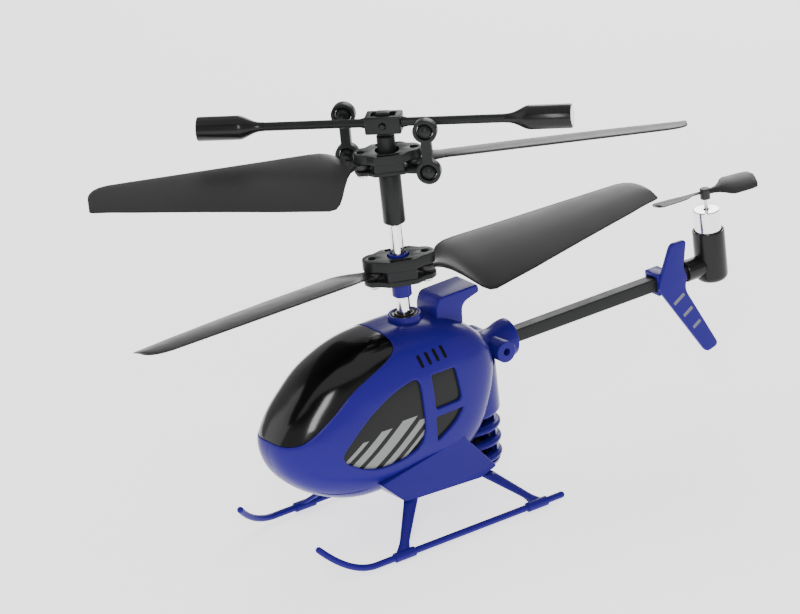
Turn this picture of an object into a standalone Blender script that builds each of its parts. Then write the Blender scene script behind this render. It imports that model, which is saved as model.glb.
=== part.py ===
"""A small coaxial remote-control helicopter, built piece by piece.

The nose points to -Y, the port side to +X, and +Z is up. Everything is modelled in mast
coordinates: the origin of the airframe empty lies on the mast axis, level with the collar on
the roof, and that empty lifts and shifts the whole machine so that it stands on the ground
with the middle of its box on the world origin.
"""

import math

import bmesh
import bpy
from mathutils import Matrix, Vector

MM = 0.001

# Fits
GAP = 0.3 * MM  # between pieces that seat on, or turn in, each other
SPLIT = 0.15 * MM  # half of the seam between the two body shells
BITE = 0.2 * MM  # how far joined shapes run into each other

# Whole machine
ROTOR_RADIUS = 65.0 * MM
RAIL_HEIGHT = 45.05 * MM  # from the collar down to the skid rails' axis
TAIL_ARM = 82.5 * MM  # from the mast to the tail motor's axis
BOOM_AXIS_Z = -13.9 * MM
TAIL_ROTOR_RADIUS = 13.5 * MM

# Directions, in degrees from +X towards +Y
LOWER_HUB_ANGLE = 65.0
LOWER_BLADE_SWING = 25.0  # of the blade, ahead of the line through the hub's two holes
UPPER_HUB_ANGLE = 59.0
UPPER_BLADE_SWING = 1.3
FLYBAR_ANGLE = 46.0
TAIL_ROTOR_ANGLE = 82.0

# Body shells: each slice at a given x is the side outline, drawn in towards BODY_CENTRE
BODY_HALF_WIDTH = 13.0 * MM
BODY_FULLNESS = 2.7
BODY_WALL = 1.0 * MM
BODY_CENTRE = (-6.0 * MM, -19.0 * MM)
BODY_SIDE_MM = (
    (-38.6, -19.8), (-36.6, -14.8), (-32.4, -10.2), (-26.0, -5.2), (-16.5, -1.6),
    (-6.0, -0.7), (5.0, -1.6), (12.1, -4.5), (16.7, -8.8), (17.9, -14.2), (16.2, -21.9),
    (12.9, -29.2), (6.0, -33.6), (-8.0, -35.4), (-21.0, -35.6), (-30.6, -31.8), (-36.6, -26.2),
)
BODY_STEPS_ROUND = 34
BODY_STEPS_ACROSS = 6

# Glazing
WINDSHIELD_HALF_WIDTH = 10.0 * MM
WINDSHIELD_TOP = 6.9 * MM  # measured down the 45 degree slope of the nose, from the collar
WINDSHIELD_BOTTOM = 39.6 * MM
WINDSHIELD_CORNER = 3.6 * MM
WINDSHIELD_WALL = 0.9 * MM
WINDOW_LAP = 1.6 * MM
WINDOW_WALL = 0.6 * MM
WINDOW_CORNER = 1.2 * MM
FRONT_WINDOW_MM = (
    (-5.6, -10.2), (-5.6, -24.0), (-10.5, -26.6), (-19.6, -27.2), (-26.8, -22.6), (-20.5, -16.2),
    (-12.5, -11.6),
)
REAR_WINDOW_MM = ((-2.7, -10.4), (3.7, -10.5), (4.3, -17.8), (-2.7, -18.0))
QUARTER_WINDOW_MM = ((-3.0, -19.9), (4.6, -19.8), (1.6, -22.8), (-3.0, -25.4))
INSERT_FRONT_Y = -28.4 * MM
INSERT_REAR_Y = 6.0 * MM
INSERT_TOP_Z = -8.8 * MM
INSERT_BOTTOM_Z = -28.6 * MM

# Mast
COLLAR_RADIUS = 3.6 * MM
COLLAR_TOP = 0.1 * MM
COLLAR_DEPTH = 4.1 * MM
BEARING_RADIUS = 2.9 * MM
BEARING_TOP = 0.4 * MM
OUTER_SHAFT_RADIUS = 1.45 * MM
INNER_SHAFT_RADIUS = 0.75 * MM
OUTER_SHAFT_TOP = 21.2 * MM
OUTER_SHAFT_BOTTOM = -13.2 * MM
INNER_SHAFT_TOP = 31.6 * MM
INNER_SHAFT_BOTTOM = -21.8 * MM
SLEEVE_RADIUS = 2.15 * MM
SLEEVE_BOTTOM = 4.3 * MM

# Rotor hubs
HUB_HOLE_REACH = 5.77 * MM
LOWER_HUB_HALF_LENGTH = 7.95 * MM
UPPER_HUB_HALF_LENGTH = 7.45 * MM
HUB_HALF_WIDTH = 4.3 * MM
HUB_BLOCK_HALF_LENGTH = 3.4 * MM
SCREW_RADIUS = 0.6 * MM
SCREW_HEAD_RADIUS = 1.3 * MM
SCREW_HEAD_HEIGHT = 0.8 * MM
BLADE_DISC_RADIUS = 2.0 * MM
LOWER_HUB_Z = (8.0 * MM, 9.2 * MM, 11.4 * MM, 13.8 * MM)
UPPER_HUB_Z = (33.6 * MM, 34.4 * MM, 36.2 * MM, 38.2 * MM)
HUB_TILT_Z = 35.3 * MM
HUB_TILT_CLEARANCE = 0.35 * MM
HUB_PIN_RADIUS = 0.45 * MM

# Blades: distance from the screw as a share of the span, then the reach ahead of and behind
# the screw, the pitch in degrees and the thickness
BLADE_ROOT_SECTIONS = (
    (1.0 * MM, 1.8 * MM, 1.8 * MM, 0.0, 1.2 * MM),
    (2.4 * MM, 2.1 * MM, 2.6 * MM, 3.0, 1.2 * MM),
    (3.5 * MM, 2.8 * MM, 5.2 * MM, 8.0, 1.15 * MM),
    (4.6 * MM, 3.8 * MM, 9.3 * MM, 13.0, 1.1 * MM),
    (5.9 * MM, 4.8 * MM, 12.8 * MM, 16.0, 1.05 * MM),
    (7.6 * MM, 5.4 * MM, 13.9 * MM, 17.0, 1.0 * MM),
)
BLADE_SPAN_SECTIONS = (
    (0.34, 5.3 * MM, 12.2 * MM, 16.0, 0.9 * MM),
    (0.59, 4.9 * MM, 9.6 * MM, 14.5, 0.8 * MM),
    (0.84, 4.45 * MM, 7.0 * MM, 13.0, 0.7 * MM),
    (0.92, 4.3 * MM, 6.1 * MM, 12.5, 0.65 * MM),
    (0.965, 3.5 * MM, 5.7 * MM, 12.3, 0.6 * MM),
    (0.988, 2.1 * MM, 5.5 * MM, 12.2, 0.55 * MM),
    (1.0, 0.1 * MM, 5.1 * MM, 12.1, 0.5 * MM),
)
SECTION_CHORDWISE = (0.0, 0.08, 0.3, 0.65, 1.0)
SECTION_THICKNESS = (0.3, 0.8, 1.0, 0.75, 0.35)

# Rotor head and flybar
HEAD_RADIUS = 2.42 * MM
HEAD_BOTTOM = 21.5 * MM
HEAD_SHOULDER = 33.0 * MM
NECK_RADIUS = 2.0 * MM
NECK_TOP = 41.6 * MM
TONGUE_WIDTH = 3.0 * MM
TONGUE_THICKNESS = 2.0 * MM
TONGUE_TOP = 47.0 * MM
FLYBAR_Z = 44.4 * MM
FLYBAR_HALF_LENGTH = 40.8 * MM
FLYBAR_ROD_RADIUS = 0.95 * MM
FLYBAR_BLOCK = (7.9 * MM, 4.8 * MM, 3.9 * MM)
FLYBAR_SLOT_HALF_LENGTH = 2.7 * MM
FLYBAR_PIN_RADIUS = 0.55 * MM
FLYBAR_PIN_HALF_LENGTH = 3.0 * MM
WEIGHT_RADIUS = 2.65 * MM
WEIGHT_LENGTH = 9.0 * MM
WEIGHT_TAPER = 5.0 * MM
LINK_REACH = 9.8 * MM
LINK_OFFSET = 5.75 * MM
LINK_LENGTH = 9.3 * MM
LINK_EYE_RADIUS = 2.65 * MM
LINK_WIDTH = 2.2 * MM
BALL_RADIUS = 1.5 * MM
STUD_RADIUS = 0.8 * MM
ARM_WIDTH = 1.9 * MM
ARM_HEIGHT = 0.7 * MM

# Gear train: equal for both rotors
GEAR_MODULE = 0.5 * MM
GEAR_TEETH = 32
PINION_TEETH = 8
GEAR_THICKNESS = 2.0 * MM
OUTER_GEAR_Z = -11.5 * MM
INNER_GEAR_Z = -16.5 * MM
MOTOR_REACH = GEAR_MODULE * (GEAR_TEETH + PINION_TEETH) / 2
MOTOR_RADIUS = 3.5 * MM
MOTOR_LENGTH = 12.5 * MM
MOTOR_SHAFT_RADIUS = 0.5 * MM

# Inner frame
UPPER_DECK_Z = (-9.3 * MM, -8.0 * MM)
LOWER_DECK_Z = (-21.0 * MM, -19.6 * MM)
DECK_WING = 10.1 * MM
DECK_HALF_WIDTH = 6.0 * MM
FRAME_HALF_WIDTH = 9.35 * MM
POST_THICKNESS = 0.6 * MM
BATTERY = (12.0 * MM, 14.0 * MM, 5.4 * MM)
BATTERY_Y = -23.5 * MM
BOARD = (13.0 * MM, 15.0 * MM, 0.8 * MM)
BOARD_Y = -23.0 * MM

# Belly cover, with its flat side plates
COVER_HALF_WIDTH = 12.0 * MM
COVER_WALL = 1.1 * MM
COVER_SIDE_MM = ((-18.1, -31.3), (-12.3, -37.2), (7.8, -38.1), (12.1, -36.4), (4.2, -26.9))
SWITCH_KNOB = (1.6 * MM, 2.4 * MM)
SWITCH_Y = -5.5 * MM
SWITCH_TRAVEL = 2.0 * MM
SOCKET_SIZE = (4.0 * MM, 2.6 * MM)
SOCKET_Y = 0.8 * MM

# Rear column, ribs and boom socket
COLUMN_Y = 12.5 * MM
COLUMN_RADIUS = 7.9 * MM
COLUMN_WALL = 1.2 * MM
COLUMN_TOP = -15.0 * MM
COLUMN_BOTTOM = -27.2 * MM
COLUMN_FRONT_Y = 13.0 * MM
COWL_FRONT_Y = 9.0 * MM
COWL_BOTTOM = -40.0 * MM
COWL_WALL_RADIUS = 6.6 * MM
RIB_PITCH = 3.5 * MM
RIB_THICKNESS = 1.2 * MM
RIB_COUNT = 3
SOCKET_START_Y = 17.0 * MM
SOCKET_RIM_Y = 26.4 * MM
SOCKET_RIM_RADIUS = 4.3 * MM
SOCKET_WAIST_RADIUS = 3.3 * MM
SOCKET_ROOT_RADIUS = 4.5 * MM
BOSS_Y = 20.9 * MM
BOSS_RADIUS = 2.45 * MM
BOSS_REACH = 7.0 * MM
BOSS_HOLE_RADIUS = 0.85 * MM

# Roof intake
DUCT_HALF_WIDTH = 3.9 * MM
DUCT_SIDE_MM = ((5.4, -6.0), (5.9, 0.4), (6.9, 2.3), (17.3, 2.5), (17.5, 0.6), (13.4, -0.4),
                (12.4, -1.4), (12.4, -6.0))

# Tail
BOOM_WIDTH = 3.0 * MM
BOOM_BORE = 1.6 * MM
BOOM_CORNER = 0.3 * MM
BOOM_START_Y = 17.5 * MM
ELBOW_WALL = 0.4 * MM
ELBOW_LENGTH = 7.7 * MM
TAIL_HOUSING_RADIUS = 3.65 * MM
TAIL_HOUSING_Z = (-18.0 * MM, -6.0 * MM)
TAIL_MOTOR_RADIUS = 3.0 * MM
TAIL_MOTOR_TOP = -1.1 * MM
TAIL_SHAFT_RADIUS = 0.4 * MM
TAIL_HUB_RADIUS = 1.15 * MM
TAIL_HUB_Z = (1.5 * MM, 3.9 * MM)
TAIL_BLADE_PITCH = 28.0
TAIL_BLADE_MM = ((0.3, 0.7), (3.2, 1.1), (5.6, 3.0), (12.6, 3.0), (13.5, -1.4), (11.4, -2.9),
                 (6.2, -2.9), (4.2, -1.2), (0.3, -0.7))
FIN_THICKNESS = 1.1 * MM
FIN_CORNER = 1.1 * MM
FIN_SIDE_MM = ((70.0, -5.0), (74.3, -5.2), (72.9, -11.8), (73.8, -13.6), (72.9, -16.6),
               (80.8, -32.4), (77.2, -33.4), (65.5, -14.4))
FIN_CLIP_Y = (66.0 * MM, 69.6 * MM)
FIN_CLIP_WALL = 0.8 * MM

# Landing gear
RAIL_X = 19.2 * MM
RAIL_RADIUS = 0.75 * MM
RAIL_REAR_Y = 23.2 * MM
RAIL_NOSE_MM = ((19.2, -27.5, -45.05), (19.2, -30.4, -44.65), (19.15, -32.8, -43.5),
                (18.4, -35.1, -41.7), (17.0, -36.7, -40.2), (15.2, -37.9, -38.8))
FOOT_RADIUS = 1.1 * MM
FOOT_LENGTH = 5.3 * MM
FOOT_SIDES = 8
FRONT_FOOT_Y = -18.8 * MM
REAR_FOOT_Y = 16.6 * MM
LEG_TOP_X = 10.7 * MM
FRONT_LEG_Y = -10.3 * MM
REAR_LEG_Y = 9.9 * MM
LEG_TOP_SIZE = (1.1 * MM, 1.7 * MM)
LEG_FOOT_SIZE = (0.8 * MM, 1.05 * MM)

# Case screws: (y, z) of each
CASE_SCREWS_MM = {"case_screw_front": (-28.5, -29.6), "case_screw_rear": (11.0, -9.6)}
CASE_BOSS_RADIUS = 2.2 * MM
CASE_SINK = 1.6 * MM

GROUND_Z = -RAIL_HEIGHT - FOOT_RADIUS
BLADE_SPAN = ROTOR_RADIUS - HUB_HOLE_REACH
FRONT_REACH = (HUB_HOLE_REACH * math.sin(math.radians(LOWER_HUB_ANGLE))
               + BLADE_SPAN * math.sin(math.radians(LOWER_HUB_ANGLE + LOWER_BLADE_SWING)))
REAR_REACH = TAIL_ARM + TAIL_ROTOR_RADIUS * math.sin(math.radians(TAIL_ROTOR_ANGLE))
MAST_Y = (FRONT_REACH - REAR_REACH) / 2

COLOURS = {
    "blue_plastic": ((0.045, 0.05, 0.30), 0.32, 0.0),
    "black_plastic": ((0.03, 0.032, 0.032), 0.45, 0.0),
    "gloss_black": ((0.006, 0.006, 0.006), 0.08, 0.0),
    "blade_plastic": ((0.04, 0.04, 0.04), 0.4, 0.0),
    "steel": ((0.78, 0.78, 0.77), 0.22, 1.0),
    "brass": ((0.7, 0.5, 0.2), 0.35, 1.0),
    "white_nylon": ((0.75, 0.75, 0.72), 0.5, 0.0),
    "green_board": ((0.02, 0.16, 0.06), 0.5, 0.0),
    "foil": ((0.6, 0.6, 0.62), 0.35, 0.6),
}


# ---------------------------------------------------------------- scene and helpers

def clear_scene():
    for obj in list(bpy.data.objects):
        bpy.data.objects.remove(obj, do_unlink=True)


def make_material(name):
    colour, roughness, metallic = COLOURS[name]
    made = bpy.data.materials.new(name)
    made.use_nodes = True
    shader = made.node_tree.nodes["Principled BSDF"]
    shader.inputs["Base Color"].default_value = (*colour, 1.0)
    shader.inputs["Roughness"].default_value = roughness
    shader.inputs["Metallic"].default_value = metallic
    return made


def mm_points(points):
    return [Vector([value * MM for value in point]) for point in points]


def link(name, mesh):
    obj = bpy.data.objects.new(name, mesh)
    PARTS.objects.link(obj)
    return obj


def from_bmesh(name, bm):
    """An object with its faces turned outwards."""
    bmesh.ops.recalc_face_normals(bm, faces=bm.faces)
    if all(edge.is_manifold for edge in bm.edges) and bm.calc_volume(signed=True) < 0:
        bmesh.ops.reverse_faces(bm, faces=bm.faces)
    mesh = bpy.data.meshes.new(name)
    bm.to_mesh(mesh)
    bm.free()
    return link(name, mesh)


def baked(obj):
    """The object as its modifiers or its curve make it, welded, as a plain mesh object."""
    bpy.context.view_layer.update()
    graph = bpy.context.evaluated_depsgraph_get()
    mesh = bpy.data.meshes.new_from_object(obj.evaluated_get(graph))
    name, place = obj.name, obj.matrix_world.copy()
    bpy.data.objects.remove(obj, do_unlink=True)
    bm = bmesh.new()
    bm.from_mesh(mesh)
    bmesh.ops.remove_doubles(bm, verts=bm.verts, dist=0.001 * MM)
    made = from_bmesh(name, bm)
    made.name = name
    made.matrix_world = place
    return made


def combine(obj, operation, *tools):
    """Joins each tool to the object, cuts it away or keeps what they share; the tool goes."""
    for tool in tools:
        modifier = obj.modifiers.new(operation, "BOOLEAN")
        modifier.operation = operation
        modifier.object = tool
        obj = baked(obj)
        bpy.data.objects.remove(tool, do_unlink=True)
    return obj


def join(obj, *tools):
    return combine(obj, "UNION", *tools)


def cut(obj, *tools):
    return combine(obj, "DIFFERENCE", *tools)


def keep(obj, *tools):
    return combine(obj, "INTERSECT", *tools)


def box(name, low, high):
    bm = bmesh.new()
    bmesh.ops.create_cube(bm, size=1.0)
    low, high = Vector(low), Vector(high)
    bmesh.ops.scale(bm, vec=high - low, verts=bm.verts)
    bmesh.ops.translate(bm, vec=(low + high) / 2, verts=bm.verts)
    return from_bmesh(name, bm)


def cylinder(name, start, end, radius, segments=20, end_radius=None, roll=0.0):
    """A rod or a cone between two points."""
    start, end = Vector(start), Vector(end)
    way = end - start
    bm = bmesh.new()
    far_radius = radius if end_radius is None else end_radius
    bmesh.ops.create_cone(bm, cap_ends=True, segments=segments, radius1=radius,
                          radius2=far_radius, depth=way.length)
    turn = way.to_track_quat("Z", "Y").to_matrix().to_4x4() @ Matrix.Rotation(roll, 4, "Z")
    bm.transform(Matrix.Translation((start + end) / 2) @ turn)
    return from_bmesh(name, bm)


def ball(name, centre, radius):
    bm = bmesh.new()
    bmesh.ops.create_uvsphere(bm, u_segments=12, v_segments=8, radius=radius)
    bmesh.ops.translate(bm, vec=Vector(centre), verts=bm.verts)
    return from_bmesh(name, bm)


def turned(name, profile, segments=24, axis="Z", at=(0, 0, 0), closed=False):
    """A profile of (radius, height) points, listed down its outer side, spun round an axis."""
    mesh = bpy.data.meshes.new(name)
    count = len(profile)
    edges = [(i, (i + 1) % count) for i in range(count if closed else count - 1)]
    # An edge that lies on the axis sweeps nothing.
    edges = [(i, j) for i, j in edges if profile[i][0] or profile[j][0]]
    mesh.from_pydata([(radius, 0, height) for radius, height in profile], edges, [])
    obj = link(name, mesh)
    screw = obj.modifiers.new("Spin", "SCREW")
    screw.steps = screw.render_steps = segments
    screw.use_merge_vertices = True
    screw.merge_threshold = 0.001 * MM
    obj = baked(obj)
    turns = {"Z": Matrix.Identity(4), "X": Matrix.Rotation(math.pi / 2, 4, "Y"),
             "Y": Matrix.Rotation(-math.pi / 2, 4, "X")}
    obj.data.transform(Matrix.Translation(at) @ turns[axis])
    return obj


def tube(name, outer, inner, bottom, top, segments=24, at=(0, 0, 0)):
    profile = [(outer, top), (outer, bottom), (inner, bottom), (inner, top)]
    return turned(name, profile, segments, at=at, closed=True)


def plate(name, outline, low, high, holes=(), plane="XY"):
    """Flat outlines, filled and given a thickness from low to high across their plane."""
    curve = bpy.data.curves.new(name, "CURVE")
    curve.dimensions = "2D"
    curve.fill_mode = "BOTH"
    curve.extrude = (high - low) / 2
    for points in (outline, *holes):
        spline = curve.splines.new("POLY")
        spline.points.add(len(points) - 1)
        for slot, point in zip(spline.points, points):
            slot.co = (point[0], point[1], 0, 1)
        spline.use_cyclic_u = True
    obj = baked(link(name, curve))
    turns = {"XY": Matrix.Identity(4),
             "YZ": Matrix(((0, 0, 1, 0), (1, 0, 0, 0), (0, 1, 0, 0), (0, 0, 0, 1)))}
    turn = turns[plane] if isinstance(plane, str) else plane
    obj.data.transform(turn @ Matrix.Translation((0, 0, (low + high) / 2)))
    return obj


def circle(centre, radius, segments=16):
    steps = [2 * math.pi * i / segments for i in range(segments)]
    return [(centre[0] + radius * math.cos(a), centre[1] + radius * math.sin(a)) for a in steps]


def rectangle(half_x, half_y, centre=(0, 0)):
    corners = ((-1, -1), (1, -1), (1, 1), (-1, 1))
    return [(centre[0] + i * half_x, centre[1] + j * half_y) for i, j in corners]


def rounded(points, radius, steps=3):
    """The outline with each corner turned into a curve that starts a radius away from it."""
    out = []
    for i, corner in enumerate(points):
        corner = Vector(corner)
        ends = []
        for other in (points[i - 1], points[(i + 1) % len(points)]):
            way = Vector(other) - corner
            ends.append(corner + way.normalized() * min(radius, way.length * 0.45))
        for k in range(steps + 1):
            t = k / steps
            out.append((1 - t) ** 2 * ends[0] + 2 * t * (1 - t) * corner + t * t * ends[1])
    return out


def loft(name, rings):
    """A closed skin over rings that each have as many points."""
    bm = bmesh.new()
    rows = [[bm.verts.new(point) for point in ring] for ring in rings]
    for near, far in zip(rows, rows[1:]):
        for i in range(len(near)):
            j = (i + 1) % len(near)
            bm.faces.new((near[i], near[j], far[j], far[i]))
    bm.faces.new(rows[0])
    bm.faces.new(rows[-1])
    return from_bmesh(name, bm)


def settle(obj, colour, parent=None, location=(0, 0, 0), turn=0.0):
    """Gives a finished piece its colour, its smooth shading and its place on its carrier."""
    obj.data.materials.clear()
    obj.data.materials.append(MATERIALS[colour])
    obj.data.shade_smooth()
    obj.data.set_sharp_from_angle(angle=math.radians(32))
    obj.parent = parent or AIRFRAME
    obj.location = location
    obj.rotation_euler = (0, 0, math.radians(turn))
    return obj


def empty(name, parent=None, location=(0, 0, 0), turn=0.0):
    made = bpy.data.objects.new(name, None)
    PARTS.objects.link(made)
    made.parent = parent
    made.location = location
    made.rotation_euler = (0, 0, math.radians(turn))
    return made


# ---------------------------------------------------------------- body shape

def body_outline(t):
    """The side outline at t, counted in outline points, as a smooth closed curve (y, z)."""
    count = len(BODY_SIDE_MM)
    i = math.floor(t)
    f = t - i
    a, b, c, d = (Vector(BODY_SIDE_MM[(i + k - 1) % count]) * MM for k in range(4))
    return 0.5 * (2 * b + (c - a) * f + (2 * a - 5 * b + 4 * c - d) * f ** 2
                  + (3 * b - a - 3 * c + d) * f ** 3)


def body_rings(offset, angles):
    """Rings of the body's surface, moved out by the offset, at angles from the middle plane."""
    centre = Vector(BODY_CENTRE)
    power = 2 / BODY_FULLNESS
    rings = []
    for angle in angles:
        x = (BODY_HALF_WIDTH + offset) * math.copysign(abs(math.sin(angle)) ** power, angle)
        draw = max(math.cos(angle), 1e-6) ** power
        ring = []
        for k in range(BODY_STEPS_ROUND):
            reach = body_outline(k * len(BODY_SIDE_MM) / BODY_STEPS_ROUND) - centre
            at = centre + reach * (draw * (1 + offset / reach.length))
            ring.append((x, at.x, at.y))
        rings.append(ring)
    return rings


def body_solid(name, offset):
    """The whole body as one solid, for cutting and keeping."""
    last = BODY_STEPS_ACROSS - 0.25
    steps = [k / BODY_STEPS_ACROSS for k in range(-BODY_STEPS_ACROSS + 1, BODY_STEPS_ACROSS)]
    steps = [-last / BODY_STEPS_ACROSS, *steps, last / BODY_STEPS_ACROSS]
    return loft(name, body_rings(offset, [step * math.pi / 2 for step in steps]))


def body_half_width(y, z):
    """How far the body reaches sideways at a point of its side view."""
    reach = Vector((y, z)) - Vector(BODY_CENTRE)
    count = len(BODY_SIDE_MM)
    samples = [body_outline(k * count / 400) - Vector(BODY_CENTRE) for k in range(400)]
    edge = min(samples, key=lambda sample: reach.angle(sample))
    share = min(reach.length / edge.length, 1.0)
    return BODY_HALF_WIDTH * (1 - share ** BODY_FULLNESS) ** (1 / BODY_FULLNESS)


def body_half_shell(name, side):
    """One open half of the body with a wall: a grid from the seam out to the side."""
    angles = [k * math.pi / 2 / BODY_STEPS_ACROSS for k in range(BODY_STEPS_ACROSS)]
    bm = bmesh.new()
    rows = []
    for ring in body_rings(0.0, angles):
        rows.append([bm.verts.new(point) for point in ring])
    pole = bm.verts.new((BODY_HALF_WIDTH, *BODY_CENTRE))
    for i in range(BODY_STEPS_ROUND):
        j = (i + 1) % BODY_STEPS_ROUND
        for near, far in zip(rows, rows[1:]):
            bm.faces.new((near[i], near[j], far[j], far[i]))
        bm.faces.new((rows[-1][i], rows[-1][j], pole))
    obj = from_bmesh(name, bm)
    wall = obj.modifiers.new("Wall", "SOLIDIFY")
    wall.thickness = BODY_WALL
    wall.offset = -1.0
    wall.use_even_offset = True
    obj = baked(obj)
    if side < 0:
        obj.data.transform(Matrix.Diagonal((-1, 1, 1, 1)))
        obj.data.flip_normals()
    return obj


def windshield_prism(name, clearance):
    """A block along the slope of the nose, with the windshield's outline shrunk a little."""
    half = WINDSHIELD_HALF_WIDTH - clearance
    top, bottom = WINDSHIELD_TOP + clearance, WINDSHIELD_BOTTOM - clearance
    outline = [(-half * 0.8, top), (half * 0.8, top), (half, top + 6 * MM), (half, bottom - 6 * MM),
               (half * 0.62, bottom), (-half * 0.62, bottom), (-half, bottom - 6 * MM),
               (-half, top + 6 * MM)]
    slope = math.sqrt(0.5)
    plane = Matrix(((-1, 0, 0, 0), (0, -slope, -slope, 0), (0, -slope, slope, 0), (0, 0, 0, 1)))
    return plate(name, rounded(outline, WINDSHIELD_CORNER), 0, 45 * MM, plane=plane)


def side_prism(name, points_mm, side, corner=WINDOW_CORNER):
    """A block across one side of the body with a window's outline."""
    inner, outer = sorted((side * 4 * MM, side * 20 * MM))
    return plate(name, rounded(mm_points(points_mm), corner), inner, outer, plane="YZ")


# ---------------------------------------------------------------- body pieces

def column_clearance(name):
    """The room that the rear column takes out of the shells."""
    reach = COLUMN_RADIUS + GAP
    post = cylinder(name, (0, COLUMN_Y, COLUMN_BOTTOM - GAP), (0, COLUMN_Y, COLUMN_TOP + GAP),
                    reach, 28)
    front = box("front", (-reach, COLUMN_Y - reach - 1 * MM, COLUMN_BOTTOM - 2 * MM),
                (reach, COLUMN_FRONT_Y - GAP, COLUMN_TOP + 2 * MM))
    return cut(post, front)


def cowl_clearance(name):
    return cylinder(name, (0, COLUMN_Y, COWL_BOTTOM - 5 * MM), (0, COLUMN_Y, COLUMN_BOTTOM),
                    COLUMN_RADIUS + GAP, 28)


def body_shells():
    for name, side in (("fuselage_left", 1), ("fuselage_right", -1)):
        shell = body_half_shell(name, side)
        for screw, (y, z) in CASE_SCREWS_MM.items():
            y, z = y * MM, z * MM
            reach = body_half_width(y, z) - BODY_WALL / 2
            inward = -side * 2 * MM
            post = cylinder("post", (inward, y, z), (side * (reach + 2 * MM), y, z),
                            CASE_BOSS_RADIUS, 12)
            post = keep(post, body_solid("within_wall", -BODY_WALL / 2))
            hole_end = reach + 6 * MM if side < 0 else reach - 1.5 * MM
            hole = cylinder("hole", (2 * inward, y, z), (side * hole_end, y, z), SCREW_RADIUS + GAP,
                            12)
            shell = cut(join(shell, post), hole)
            if side < 0:
                sink = cylinder("sink", (-reach - 6 * MM, y, z), (-reach + CASE_SINK, y, z),
                                SCREW_HEAD_RADIUS + GAP, 12)
                shell = cut(shell, sink)
        beyond, seam = -side * 20 * MM, side * SPLIT
        shell = cut(
            shell,
            box("other_half", (min(beyond, seam), -50 * MM, -50 * MM),
                (max(beyond, seam), 30 * MM, 10 * MM)),
            windshield_prism("windshield_opening", 0.0),
            side_prism("front_window", FRONT_WINDOW_MM, side, 2.2 * MM),
            side_prism("rear_window", REAR_WINDOW_MM, side),
            side_prism("quarter_window", QUARTER_WINDOW_MM, side),
            cylinder("collar_hole", (0, 0, -8 * MM), (0, 0, 4 * MM), COLLAR_RADIUS + GAP, 24),
            cylinder("socket_hole", (0, SOCKET_START_Y - GAP, BOOM_AXIS_Z),
                     (0, SOCKET_RIM_Y, BOOM_AXIS_Z), SOCKET_ROOT_RADIUS + GAP, 24),
            cylinder("boss_room", (-12 * MM, BOSS_Y, BOOM_AXIS_Z), (12 * MM, BOSS_Y, BOOM_AXIS_Z),
                     BOSS_RADIUS + GAP, 20),
            column_clearance("column_room"),
            cowl_clearance("cowl_room"),
        )
        settle(shell, "blue_plastic")


def glazing():
    pane = windshield_prism("windshield", GAP)
    pane = keep(pane, body_solid("outside", 0.0))
    pane = cut(pane, body_solid("inside", -WINDSHIELD_WALL))
    settle(pane, "gloss_black")
    depth = -BODY_WALL - GAP
    low = (INSERT_FRONT_Y, INSERT_BOTTOM_Z)
    high = (INSERT_REAR_Y, INSERT_TOP_Z)
    chamfer = 9.0 * MM
    outline = [(low[0], low[1] + chamfer), (low[0] + chamfer, high[1]), high, (high[0], low[1] + 4 * MM),
               (high[0] - 4 * MM, low[1]), (low[0] + 4 * MM, low[1])]
    for name, side in (("side_window_left", 1), ("side_window_right", -1)):
        inner, outer = sorted((side * 4 * MM, side * 20 * MM))
        pane = plate(name, rounded(outline, 2 * MM), inner, outer, plane="YZ")
        pane = keep(pane, body_solid("outside", depth))
        pane = cut(pane, body_solid("inside", depth - WINDOW_WALL))
        settle(pane, "gloss_black")


def mast_collar():
    inner = BEARING_RADIUS + GAP
    low = COLLAR_TOP - COLLAR_DEPTH
    profile = [(inner, COLLAR_TOP), (COLLAR_RADIUS - 0.15 * MM, COLLAR_TOP),
               (COLLAR_RADIUS, COLLAR_TOP - 0.3 * MM), (COLLAR_RADIUS, low), (inner, low)]
    settle(turned("mast_collar", profile, closed=True), "blue_plastic")


def intake_duct():
    duct = plate("intake_duct", rounded(mm_points(DUCT_SIDE_MM), 0.5 * MM, 2), -DUCT_HALF_WIDTH,
                 DUCT_HALF_WIDTH, plane="YZ")
    settle(cut(duct, body_solid("roof", GAP)), "blue_plastic")


def cover_bottom(y):
    """The height of the belly cover's underside."""
    points = mm_points(COVER_SIDE_MM)[1:4]
    for near, far in zip(points, points[1:]):
        if near.x <= y <= far.x:
            return near.y + (far.y - near.y) * (y - near.x) / (far.x - near.x)
    return points[0].y


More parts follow.
